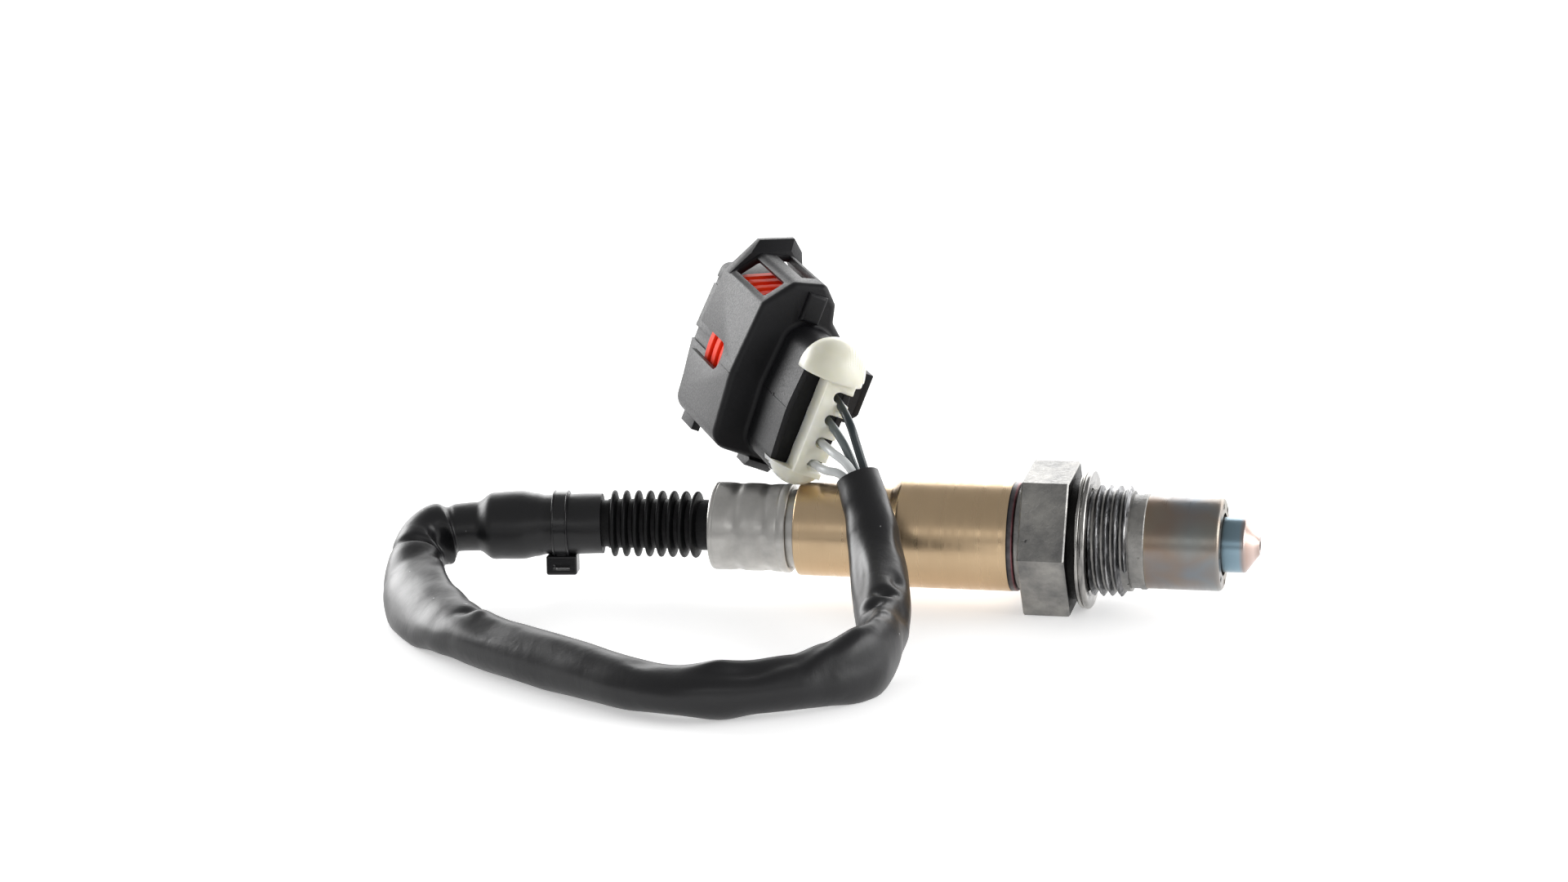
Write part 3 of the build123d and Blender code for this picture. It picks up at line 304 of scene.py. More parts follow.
def canMaterial():
    # a tube that has been hot: brown near the thread, blue-grey towards its end
    material = startMaterial("tintedCan", heatTint["steel"], roughness=0.3, metallic=1.0)
    grain = noisePattern(material, scale=900, detail=3, rough=0.6, stretch=(1, 0.03, 0.03))
    wander = noisePattern(material, scale=105, detail=2, rough=0.5, stretch=(0.8, 1, 1))
    tint = rampOf(
        material, along(material, 8.5, 21.0),
        (0.0, (0.34, 0.27, 0.16)), (0.06, heatTint["brown"]), (0.35, (0.22, 0.19, 0.17)),
        (0.6, heatTint["steel"]), (0.9, (0.23, 0.23, 0.22)), (1.0, (0.30, 0.26, 0.22)),
    )
    shades = rampOf(
        material, wander, (0.3, heatTint["wine"]), (0.45, heatTint["steel"]),
        (0.55, heatTint["brown"]), (0.7, heatTint["olive"]),
    )
    paint(material, "Base Color", mixOf(material, 0.45, tint, shades))
    paint(material, "Roughness", rampOf(material, grain, (0.3, (0.26,)), (0.7, (0.38,))))
    relief(material, (grain, 0.000008))
    return material


def innerCanMaterial():
    material = startMaterial("innerCan", (0.3, 0.38, 0.44), roughness=0.3, metallic=1.0)
    tint = rampOf(
        material, along(material, 20.5, 26.6),
        (0.0, (0.12, 0.10, 0.09)), (0.1, (0.17, 0.25, 0.30)), (0.5, (0.22, 0.31, 0.37)),
        (0.6, (0.30, 0.26, 0.25)), (0.70, (0.42, 0.31, 0.27)), (0.85, (0.56, 0.44, 0.40)),
        (1.0, (0.34, 0.26, 0.23)),
    )
    paint(material, "Base Color", tint)
    grain = noisePattern(material, scale=900, detail=3, rough=0.6, stretch=(1, 0.03, 0.03))
    relief(material, (grain, 0.00001))
    return material


def weldMaterial():
    # black at the sleeve, grey on the crown, wine red beside the hexagon
    material = startMaterial("burntWeld", (0.05, 0.045, 0.05), roughness=0.36, metallic=1.0)
    cloud = noisePattern(material, scale=500, detail=4, rough=0.6)
    tint = rampOf(
        material, along(material, -12.9, -11.7),
        (0.0, (0.015, 0.013, 0.015)), (0.3, (0.10, 0.095, 0.10)), (0.6, (0.13, 0.11, 0.115)),
        (0.75, (0.26, 0.10, 0.11)), (1.0, (0.07, 0.04, 0.045)),
    )
    dusk = rampOf(material, cloud, (0.3, (0.5,)), (0.65, (1,)))
    paint(material, "Base Color", mixOf(material, 1.0, tint, dusk, "MULTIPLY"))
    relief(material, (cloud, 0.00005))
    return material


def darker(colour):
    return tuple(c * 0.7 for c in colour)


def boneMaterial(name, colour):
    material = startMaterial(name, colour, roughness=0.6)
    speck = noisePattern(material, scale=1200, detail=3, rough=0.6)
    shades = rampOf(material, speck, (0.3, darker(colour)), (0.7, colour))
    paint(material, "Base Color", mixOf(material, 0.15, colour, shades))
    relief(material, (speck, 0.00001))
    return material


soft = dict(sleeve=(0.006, 0.006, 0.007), boot=(0.004, 0.004, 0.0045), dust=(0.25, 0.25, 0.25))


def sleeveMaterial():
    material = startMaterial("blackSleeve", soft["sleeve"], roughness=0.3, specular=0.35)
    shader = material.node_tree.nodes["Principled BSDF"]
    shader.inputs["Coat Weight"].default_value = 0.12
    shader.inputs["Coat Roughness"].default_value = 0.3
    skin = noisePattern(material, scale=1100, detail=4, rough=0.6)
    sweep = noisePattern(material, scale=90, detail=3, rough=0.55)
    specks = noisePattern(material, scale=900, detail=1, rough=0.4)
    mask = rampOf(material, specks, (0.80, (0,)), (0.82, (1,)))
    paint(material, "Base Color", mixOf(material, mask, soft["sleeve"], soft["dust"]))
    paint(material, "Roughness", rampOf(material, sweep, (0.35, (0.34,)), (0.65, (0.44,))))
    crinkle = noisePattern(material, scale=420, detail=4, rough=0.6, stretch=(1, 1, 0.35), distortion=0.6)
    relief(material, (sweep, 0.0003), (crinkle, 0.00006), (skin, 0.000015))
    return material


def bootMaterial():
    material = startMaterial("blackRubber", soft["boot"], roughness=0.48, specular=0.2)
    skin = noisePattern(material, scale=1500, detail=3, rough=0.6)
    paint(material, "Roughness", rampOf(material, skin, (0.35, (0.42,)), (0.65, (0.56,))))
    relief(material, (skin, 0.000015))
    return material


moulded = dict(
    wall=(0.007, 0.007, 0.0085), dark=(0.005, 0.005, 0.006), light=(0.009, 0.009, 0.0105), grain=0.000022,
)


def mouldedMaterial():
    material = startMaterial("charcoalPlastic", moulded["wall"], roughness=0.46, specular=0.25)
    grain = noisePattern(material, scale=3400, detail=2, rough=0.5)
    cloud = noisePattern(material, scale=120, detail=3, rough=0.5)
    paint(material, "Base Color", rampOf(material, cloud, (0.3, moulded["dark"]), (0.7, moulded["light"])))
    paint(material, "Roughness", rampOf(material, grain, (0.35, (0.40,)), (0.65, (0.54,))))
    relief(material, (grain, moulded["grain"]))
    return material


def tieMaterial():
    material = startMaterial("blackTie", (0.006, 0.006, 0.007), roughness=0.26, specular=0.45)
    skin = noisePattern(material, scale=1200, detail=3, rough=0.6)
    relief(material, (skin, 0.00002))
    return material


def sealMaterial():
    material = startMaterial("redSeal", (0.85, 0.03, 0.006), roughness=0.5, specular=0.08)
    shader = material.node_tree.nodes["Principled BSDF"]
    shader.inputs["Subsurface Weight"].default_value = 0.15
    shader.inputs["Subsurface Scale"].default_value = 0.0015
    shader.inputs["Subsurface Radius"].default_value = (1.0, 0.3, 0.15)
    cloud = noisePattern(material, scale=300, detail=3, rough=0.5)
    colour = rampOf(material, cloud, (0.3, (0.82, 0.022, 0.004)), (0.7, (0.95, 0.05, 0.008)))
    paint(material, "Base Color", colour)
    relief(material, (cloud, 0.00003))
    return material


def combMaterial():
    material = startMaterial("ivoryComb", (0.62, 0.60, 0.47), roughness=0.3, specular=0.4)
    shader = material.node_tree.nodes["Principled BSDF"]
    shader.inputs["Subsurface Weight"].default_value = 0.7
    shader.inputs["Subsurface Scale"].default_value = 0.003
    shader.inputs["Subsurface Radius"].default_value = (1.0, 0.9, 0.6)
    shader.inputs["Transmission Weight"].default_value = 0.2
    cloud = noisePattern(material, scale=200, detail=3, rough=0.5)
    colour = rampOf(material, cloud, (0.3, (0.72, 0.71, 0.60)), (0.7, (0.82, 0.81, 0.72)))
    paint(material, "Base Color", colour)
    relief(material, (cloud, 0.00003))
    return material


def wireMaterial(name, colour):
    material = startMaterial(name, colour, roughness=0.3)
    skin = noisePattern(material, scale=900, detail=2, rough=0.5)
    shades = rampOf(material, skin, (0.3, darker(colour)), (0.7, colour))
    paint(material, "Base Color", mixOf(material, 0.2, colour, shades))
    relief(material, (skin, 0.00001))
    return material


def contactMaterial():
    material = startMaterial("tinnedContact", (0.75, 0.72, 0.62), roughness=0.25, metallic=1.0)
    cloud = noisePattern(material, scale=600, detail=3, rough=0.5)
    paint(material, "Roughness", rampOf(material, cloud, (0.3, (0.2,)), (0.7, (0.36,))))
    relief(material, (cloud, 0.00001))
    return material


finish = dict(
    bronze=bronzeMaterial(), ferrule=ferruleMaterial(), forged=forgedMaterial(), thread=threadMaterial(),
    gasket=gasketMaterial(), can=canMaterial(), innerCan=innerCanMaterial(), weld=weldMaterial(),
    sleeve=sleeveMaterial(), boot=bootMaterial(), moulded=mouldedMaterial(), tie=tieMaterial(),
    seal=sealMaterial(), comb=combMaterial(),
    blackWire=wireMaterial("blackWire", (0.012, 0.02, 0.024)),
    greyWire=wireMaterial("greyWire", (0.13, 0.15, 0.155)),
    whiteWire=wireMaterial("whiteWire", (0.62, 0.64, 0.64)),
    contact=contactMaterial(),
    zirconia=boneMaterial("zirconia", (0.85, 0.84, 0.80)),
    steatite=boneMaterial("steatite", (0.80, 0.79, 0.75)),
    packing=boneMaterial("packing", (0.45, 0.45, 0.42)),
    holder=boneMaterial("holder", (0.12, 0.12, 0.13)),
)
print("materials")


# shape helpers

def pick(piece):
    bpy.ops.object.select_all(action="DESELECT")
    bpy.context.view_layer.objects.active = piece
    piece.select_set(True)


mergeWithin = 0.000002   # metres
smoothing = 40   # degrees


def tidyNormals(piece, smoothAngle=smoothing):
    pick(piece)
    bpy.ops.object.mode_set(mode="EDIT")
    bpy.ops.mesh.select_all(action="SELECT")
    bpy.ops.mesh.remove_doubles(threshold=mergeWithin)
    bpy.ops.mesh.normals_make_consistent(inside=False)
    bpy.ops.object.mode_set(mode="OBJECT")
    bpy.ops.object.shade_smooth_by_angle(angle=radians(smoothAngle))


def meshObject(name, vertices, edges, faces, material):
    mesh = bpy.data.meshes.new(name)
    mesh.from_pydata([Vector(v) * mm for v in vertices], edges, faces)
    mesh.materials.append(material)
    piece = bpy.data.objects.new(name, mesh)
    bpy.context.collection.objects.link(piece)
    return piece


def openLine(name, profile, material):
    # stations and radii joined into one open line in the plane over the sensor's axis
    edges = [(i, i + 1) for i in range(len(profile) - 1)]
    return meshObject(name, [(x, 0, r) for x, r in profile], edges, [], material)


def turnedShape(name, profile, steps, material):
    piece = openLine(name, profile, material)
    pick(piece)
    bpy.ops.object.mode_set(mode="EDIT")
    bpy.ops.mesh.select_all(action="SELECT")
    bpy.ops.mesh.spin(steps=steps, angle=tau, center=(0, 0, 0), axis=(1, 0, 0))
    bpy.ops.object.mode_set(mode="OBJECT")
    tidyNormals(piece)
    return piece


def ownCopy(piece, name):
    other = piece.copy()
    other.data = piece.data.copy()
    other.name = name
    bpy.context.collection.objects.link(other)
    return other


def copyOf(node, name, material):
    piece = ownCopy(nodes[node], name)
    piece.data.materials.clear()
    piece.data.materials.append(material)
    pick(piece)
    bpy.ops.object.mode_set(mode="EDIT")
    bpy.ops.mesh.select_all(action="SELECT")
    bpy.ops.mesh.remove_doubles(threshold=mergeWithin)
    bpy.ops.object.mode_set(mode="OBJECT")
    bpy.ops.mesh.customdata_custom_splitnormals_clear()
    return piece


def stationAndRadius(v):
    return v.co.x / mm, hypot(v.co.y, v.co.z) / mm


def putOn(piece):
    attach(piece, "root")


def standFor(piece, node):
    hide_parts(node)
    putOn(piece)


# threaded body

seatThread = dict(
    root=8.03, crest=8.95, pitch=1.5, start=-0.35, turns=4.3, steps=120,
    flank=0.58, land=0.1, fade=0.35, wear=0.22, drag=0.07, face=-0.01, end=6.35, margin=0.1,
    sink=0.06, backStop=-0.3, grainScale=(1.1, 0.7, 0.7), strandScale=(5.0, 0.9, 0.9),
)


def unevenness(x, v, scale):
    return noise.noise(Vector((x * scale[0], v.co.y / mm * scale[1], v.co.z / mm * scale[2])))


def buildBody():
    body = copyOf("sensor_housing", "threadedBody", finish["forged"])
    rootRadius, margin = seatThread["root"], seatThread["margin"]
    for v in body.data.vertices:
        x, r = stationAndRadius(v)
        if seatThread["face"] < x < seatThread["end"] + margin and r > rootRadius + margin:
            v.co.yz *= rootRadius / r
    tidyNormals(body, smoothAngle=30)
    # the ridge's section, across and as a share of the depth, wound along the seat by a screw
    half, land = seatThread["flank"] + seatThread["land"], seatThread["land"]
    ridge = (
        (-half, -0.08), (-half * 0.8, 0.06), (-land * 1.8, 0.8), (-land, 0.94), (0, 1.0),
        (land, 0.94), (land * 1.8, 0.8), (half * 0.8, 0.06), (half, -0.08),
    )
    deep = seatThread["crest"] - rootRadius
    profile = [(seatThread["start"] + x, rootRadius + y * deep) for x, y in ridge]
    thread = openLine("seatThread", profile, finish["thread"])
    pick(thread)
    winding = thread.modifiers.new("winding", "SCREW")
    winding.axis = "X"
    winding.angle = tau * seatThread["turns"]
    winding.screw_offset = seatThread["pitch"] * seatThread["turns"] * mm
    winding.steps = winding.render_steps = int(seatThread["steps"] * seatThread["turns"])
    winding.use_smooth_shade = True
    bpy.ops.object.modifier_apply(modifier="winding")
    for v in thread.data.vertices:
        x, r = stationAndRadius(v)
        high = max(0.0, r - rootRadius)
        # worn crests, and run-out at both ends
        high *= 1 - seatThread["wear"] * (0.5 + unevenness(x, v, seatThread["grainScale"]))
        high += seatThread["drag"] * unevenness(x, v, seatThread["strandScale"])
        toEnd = min(max(0, x + margin), max(0, seatThread["end"] - x))
        ends = min(1, toEnd / seatThread["fade"])
        high *= ends
        if r > rootRadius:
            v.co.yz *= (rootRadius + high - (seatThread["sink"] if ends == 0 else 0)) / r
        v.co.x = min(max(x, seatThread["backStop"]), seatThread["end"]) * mm
    tidyNormals(thread, smoothAngle=60)
    standFor(body, "sensor_housing")
    standFor(thread, "sensor_housing")


# crimped ferrule

ferrule = dict(
    rear=-61.9, front=-49.0, radius=7.1, lip=4.6, groove=6.3, press=0.16, flat=0.2, jaws=8, turn=11,
    crimps=(-57.6, -52.8), reach=0.8, steps=192, lipDepth=0.3, rollLength=1.6,
    # how far the wall's rings keep from the rear end, from the front end and from each other
    wallFrom=1.0, wallTo=1.7, ringStep=0.16,
)


def buildFerrule():
    rear, front, radius = ferrule["rear"], ferrule["front"], ferrule["radius"]
    lip, groove = ferrule["lip"], ferrule["groove"]
    profile = [
        (rear + 0.55, lip - 0.05), (rear + 0.08, lip - 0.05), (rear, lip + 0.05),
        (rear, radius - 0.6), (rear + 0.03, radius - 0.4), (rear + 0.1, radius - 0.2),
        (rear + 0.25, radius - 0.07), (rear + 0.5, radius), (rear + 0.72, radius),
        (rear + 0.78, radius - 0.04), (rear + 0.84, radius),
    ]
    # close rings, so that the jaws can press into a smooth wall
    station = rear + ferrule["wallFrom"]
    while station < front - ferrule["wallTo"]:
        profile.append((station, radius))
        station += ferrule["ringStep"]
    profile += [
        (front - 1.62, radius), (front - 1.5, radius - 0.06), (front - 1.35, radius - 0.02),
        (front - 1.2, radius + 0.05), (front - 0.8, radius + 0.1), (front - 0.4, radius + 0.08),
        (front - 0.12, radius), (front, radius - 0.15), (front, groove), (front + 1.2, groove),
    ]
    shell = turnedShape("crimpedFerrule", profile, ferrule["steps"], finish["ferrule"])
    for v in shell.data.vertices:
        x, r = stationAndRadius(v)
        if r < radius - ferrule["lipDepth"] or x > front - ferrule["rollLength"]:
            continue
        press = max(exp(-((x - c) / ferrule["reach"]) ** 2) for c in ferrule["crimps"])
        turn = atan2(v.co.z, v.co.y) - radians(ferrule["turn"])
        jaw = 0.5 + 0.5 * cos(turn * ferrule["jaws"])
        v.co.yz *= (r - press * (ferrule["press"] + ferrule["flat"] * jaw)) / r
    tidyNormals(shell, smoothAngle=50)
    standFor(shell, "crimp_ferrule")


# folded gasket

gasket = dict(
    # two rounded lips with the fold's gap between them
    profile=(
        (-0.6, 8.25), (-1.8, 8.25), (-1.8, 10.45), (-1.76, 10.7), (-1.64, 10.9),
        (-1.46, 11.0), (-1.26, 10.98), (-1.1, 10.86), (-1.03, 10.6), (-0.93, 10.6),
        (-0.88, 10.9), (-0.72, 11.05), (-0.5, 11.1), (-0.28, 11.05), (-0.12, 10.93),
        (-0.02, 10.75), (0.0, 10.5), (0.0, 9.2), (-0.6, 8.25),
    ),
    # the front lip wavers, from this station and radius on
    steps=128, wobble=0.05, wobbleFrom=(-0.95, 10.3), wobbleScale=150,
)


def buildGasket():
    ring = turnedShape("foldedGasket", gasket["profile"], gasket["steps"], finish["gasket"])
    station, radius = gasket["wobbleFrom"]
    for v in ring.data.vertices:
        x, r = stationAndRadius(v)
        if x > station and r > radius:
            v.co.x -= gasket["wobble"] * (0.5 + noise.noise(v.co * gasket["wobbleScale"])) * mm
    tidyNormals(ring, smoothAngle=50)
    standFor(ring, "captive_gasket")


buildBody()
buildFerrule()
buildGasket()
print("threaded body, ferrule and gasket")


# plug: frame, rounded housing, parting lines and rail cap

plug = dict(
    origin=(-45.83, 0.65, 17.59), across=(0.8087, 0.4321, -0.3991), rearward=(0.4651, -0.8851, -0.0156),
    edgeRound=0.22, edgeAngle=38, flatAngle=0.5, smoothAngle=42,
    # parting lines: place across, place in the row, and from where to where along the plug
    seams=((-4.88, 1.1, -14.1, -0.5), (-10.77, 1.05, -21.0, -14.9)), seamWidth=0.12, seamRound=0.3,
    nub=(-4.88, 1.2, -7.8), nubRadius=0.34, nubStretch=(0.5, 0.8, 1.2),
    railCap=dict(centre=(12.75, 4.33, -24.8), size=(1.2, 7.2, 18.06), round=0.25),
)


def plugFrame():
    back = Vector(plug["rearward"]).normalized()
    across = Vector(plug["across"])
    across = (across - back * across.dot(back)).normalized()
    up = back.cross(across)
    turn = Matrix((across, up, back)).transposed().to_4x4()
    return Matrix.Translation(Vector(plug["origin"]) * mm) @ turn


def buildHousing():
    shell = copyOf("connector_housing", "plugHousing", finish["moulded"])
    pick(shell)
    bpy.ops.object.mode_set(mode="EDIT")
    bpy.ops.mesh.select_all(action="SELECT")
    bpy.ops.mesh.dissolve_limited(angle_limit=radians(plug["flatAngle"]))
    bpy.ops.object.mode_set(mode="OBJECT")
    softEdge = shell.modifiers.new("softEdge", "BEVEL")
    softEdge.width = plug["edgeRound"] * mm
    softEdge.segments = 2
    softEdge.limit_method = "ANGLE"
    softEdge.angle_limit = radians(plug["edgeAngle"])
    softEdge.miter_outer = "MITER_ARC"
    bpy.ops.object.modifier_apply(modifier="softEdge")
    bpy.ops.object.shade_smooth_by_angle(angle=radians(plug["smoothAngle"]))
    standFor(shell, "connector_housing")
    return shell


def plugBlock(name, centre, size, edgeRound):
    bpy.ops.object.select_all(action="DESELECT")
    bpy.ops.mesh.primitive_cube_add(size=1)
    piece = bpy.context.object
    piece.name = name
    piece.data.transform(Matrix.Diagonal((*[v * mm for v in size], 1)))
    bpy.ops.object.mode_set(mode="EDIT")
    bpy.ops.mesh.select_all(action="SELECT")
    bpy.ops.mesh.bevel(offset=edgeRound * mm, segments=3, affect="EDGES")
    bpy.ops.object.mode_set(mode="OBJECT")
    piece.data.transform(plugFrame() @ Matrix.Translation(Vector(centre) * mm))
    piece.data.materials.append(finish["moulded"])
    bpy.ops.object.shade_smooth_by_angle(angle=radians(smoothing))
    putOn(piece)
    return piece


def buildPlugDetails():
    width = plug["seamWidth"]
    made = []
    for number, (across, row, low, high) in enumerate(plug["seams"], 1):
        centre, size = (across, row, (low + high) / 2), (width, width, high - low)
        made.append(plugBlock(f"partingLine{number}", centre, size, width * plug["seamRound"]))
    bpy.ops.object.select_all(action="DESELECT")
    bpy.ops.mesh.primitive_uv_sphere_add(segments=24, ring_count=12, radius=plug["nubRadius"] * mm)
    nub = bpy.context.object
    nub.name = "partingNub"
    where = plugFrame() @ Matrix.Translation(Vector(plug["nub"]) * mm)
    nub.data.transform(where @ Matrix.Diagonal((*plug["nubStretch"], 1)))
    nub.data.materials.append(finish["moulded"])
    bpy.ops.object.shade_smooth()
    putOn(nub)
    cap = plug["railCap"]
    return [*made, nub, plugBlock("clipRailCap", cap["centre"], cap["size"], cap["round"])]


comb = dict(
    voxel=0.15, smooth=14,
    # terraces round the cap, deepest on its right
    capCentre=(0.9, 9.1, 2.3), capFrom=8.3, capReach=3.5, steps=8, stepDepth=0.2, lean=0.35,
    fadeFrom=-1.0, fadeOver=4.0,
    # below the cap the bar wavers
    barTo=7.5, wave=0.2, waveScale=0.8,
)


def buildComb():
    clip = copyOf("wire_comb", "ivoryWireComb", finish["comb"])
    pick(clip)
    clip.data.remesh_voxel_size = comb["voxel"] * mm
    clip.data.remesh_voxel_adaptivity = 0
    bpy.ops.object.voxel_remesh()
    soften = clip.modifiers.new("soften", "SMOOTH")
    soften.factor = 0.5
    soften.iterations = comb["smooth"]
    bpy.ops.object.modifier_apply(modifier="soften")
    toPlug, fromPlug = plugFrame().inverted(), plugFrame().to_3x3()
    centre = Vector(comb["capCentre"])
    for v in clip.data.vertices:
        local = (toPlug @ v.co) / mm
        away = local - centre
        if local.y > comb["capFrom"] and away.length > comb["capReach"]:
            share = max(0.0, min(1.0, (away.x - comb["fadeFrom"]) / comb["fadeOver"]))
            outward = away.normalized()
            height = (outward.x + comb["lean"] * outward.y) * comb["steps"]
            stair = height - floor(height)
            v.co += fromPlug @ (outward * (0.5 - stair) * comb["stepDepth"] * share * mm)
        elif local.y < comb["barTo"]:
            waver = noise.noise(local * comb["waveScale"])
            v.co += fromPlug @ (Vector((0, 0, 1)) * waver * comb["wave"] * mm)
    bpy.ops.object.shade_smooth()
    standFor(clip, "wire_comb")
    return clip


plugMade = [buildHousing(), *buildPlugDetails(), buildComb()]
print("plug housing and comb")


# rims and teeth of the cable tie's strap

strap = dict(
    centre=(-86.963, -2.143, 0.0), run=(-0.99027, -0.13917, 0.0), radius=5.27,
    rim=0.17, halfWidth=1.1, rimSteps=(96, 10),
    # seven teeth beside the head, between two angles round the strap
    teeth=7, toothLow=240, toothHigh=262, toothWide=1.5, toothThick=0.2, toothDeep=0.26,
)


def strapFrame():
    back = Vector(strap["run"]).normalized()
    side = back.cross(Vector((0, 0, 1))).normalized()
    turn = Matrix((side, back.cross(side) * -1, back)).transposed().to_4x4()
    return Matrix.Translation(Vector(strap["centre"]) * mm) @ turn


def buildRims():
    bpy.ops.object.select_all(action="DESELECT")
    around, section = strap["rimSteps"]
    bpy.ops.mesh.primitive_torus_add(
        major_segments=around, minor_segments=section,
        major_radius=strap["radius"] * mm, minor_radius=strap["rim"] * mm)
    rim = bpy.context.object
    rim.name = "strapRim1"
    rim.data.materials.append(finish["tie"])
    bpy.ops.object.shade_smooth()
    rims = [rim, ownCopy(rim, "strapRim2")]
    for piece, offset in zip(rims, (-strap["halfWidth"], strap["halfWidth"])):
        piece.data.transform(strapFrame() @ Matrix.Translation((0, 0, offset * mm)))
        putOn(piece)
    return rims


def buildTeeth():
    # one tooth is modelled, copied round the strap and joined to its copies
    bpy.ops.object.select_all(action="DESELECT")
    bpy.ops.mesh.primitive_cube_add(size=1)
    tooth = bpy.context.object
    tooth.name = "strapTeeth"
    tooth.data.materials.append(finish["tie"])
    teeth = [tooth, *(ownCopy(tooth, "strapTooth") for _ in range(strap["teeth"] - 1))]
    size = Vector((strap["toothDeep"], strap["toothThick"], strap["toothWide"])) * mm
    gap = (strap["toothHigh"] - strap["toothLow"]) / (strap["teeth"] - 1)
    outward = Matrix.Translation((strap["radius"] * mm, 0, 0))
    for number, piece in enumerate(teeth):
        turn = Matrix.Rotation(radians(strap["toothLow"] + gap * number), 4, "Z")
        piece.data.transform(strapFrame() @ turn @ outward @ Matrix.Diagonal((*size, 1)))
    pick(tooth)
    for piece in teeth:
        piece.select_set(True)
    bpy.ops.object.join()
    putOn(tooth)
    return tooth


strapMade = [*buildRims(), buildTeeth()]
print("strap rims and teeth")


# lead

lead = dict(
    # the corners of its centre line, in millimetres
    corners=(
        (-80.34, -1.21, 0.0), (-97.77, -3.66, -0.25), (-108.0, -5.2, -0.8), (-108.8, -15.2, -5.3),
        (-104.8, -27.4, -6.5), (-91.8, -41.6, -6.7), (-74.5, -52.6, -6.6), (-54.6, -63.8, -6.7),
        (-38.0, -57.0, -6.6), (-28.0, -51.0, -6.7), (-26.2, -43.6, -6.6), (-27.8, -33.6, -4.0),
        (-31.6, -18.0, 0.6), (-34.2, -11.2, 7.0), (-36.6, -8.2, 11.4),
    ),
    diameter=8.6, wall=0.7, mouthDepth=9.0, around=96, steps=44, ground=-11.05,
    cutEndReach=6.0, cutEndFacing=-0.9,
    # station along the lead, width across the loop, height, turn of the section in degrees, lift
    sections=(
        (0, 9.75, 9.75, 0, 0), (9.2, 9.75, 9.75, 0, 0), (10.6, 10.4, 10.4, 0, 0), (13.0, 11.3, 11.1, 0, 0),
        (17.8, 11.2, 10.7, 0, 0), (20.4, 8.4, 7.9, 0, 0), (24.2, 8.2, 7.7, 0, 0), (25.8, 9.4, 9.6, 0, 0),
        (27.4, 9.6, 10.6, 0, -0.3), (31.0, 9.4, 9.8, 0, 0), (36, 9.8, 8.8, -20, 0), (41, 11.2, 6.8, -38, 0),
        (48, 12.2, 5.8, -46, 0), (56, 11.6, 6.4, -42, 0), (63, 10.0, 7.6, -28, 0), (70, 8.9, 8.6, 0, 0),
        (90, 8.8, 8.7, 0, 0), (104, 8.8, 7.9, 0, 0), (111, 8.8, 7.3, 0, 0), (119, 8.6, 8.9, 0, 0),
        (124, 8.6, 8.1, 0, 0), (130, 8.6, 8.3, 0, 0.2), (135, 7.6, 10.0, 0, 0.9), (141, 6.4, 12.1, 0, 1.25),
        (146, 5.8, 12.2, 0, 1.2), (151, 6.4, 10.8, 0, 0.8), (156, 8.2, 9.0, 0, 0), (163, 9.2, 8.0, 0, 0),
        (171, 9.2, 7.8, 0, 0), (179, 8.5, 7.8, 0, 0), (185, 7.5, 7.4, 0, 0), (190, 7.0, 6.9, 0, 0),
    ),
    # station, angle round, half length, half spread in degrees, depth of the dent
    dents=(
        (25.0, 90, 0.7, 60, 0.7), (30.2, 168, 2.5, 52, 2.8), (33.9, 150, 0.7, 95, 1.2),
        (37.5, 200, 2.5, 30, 0.7), (44, 190, 5.0, 22, -0.5), (67.5, 100, 1.5, 24, 0.8),
        (70.5, 95, 1.3, 22, -0.4), (76, 60, 6.0, 25, 0.5), (106, 88, 3.0, 26, 0.5),
        (121.5, 58, 5.0, 20, 0.9), (118, 84, 2.2, 20, -0.4), (128, 74, 4.0, 20, 0.5),
        (134, 88, 2.0, 24, 0.5), (138, 20, 7.0, 26, 0.5), (153, 150, 2.5, 32, 1.3),
        (157.5, 112, 1.2, 28, 1.2), (160.5, 82, 1.2, 22, 1.1), (164.5, 56, 2.0, 18, 0.8),
        (168, 142, 7.0, 24, 0.7), (176, 30, 5.0, 22, 0.5), (156, 40, 3.0, 26, 0.6),
    ),
    ripple=0.16, rippleAlong=0.16, rippleRound=0.22,
)
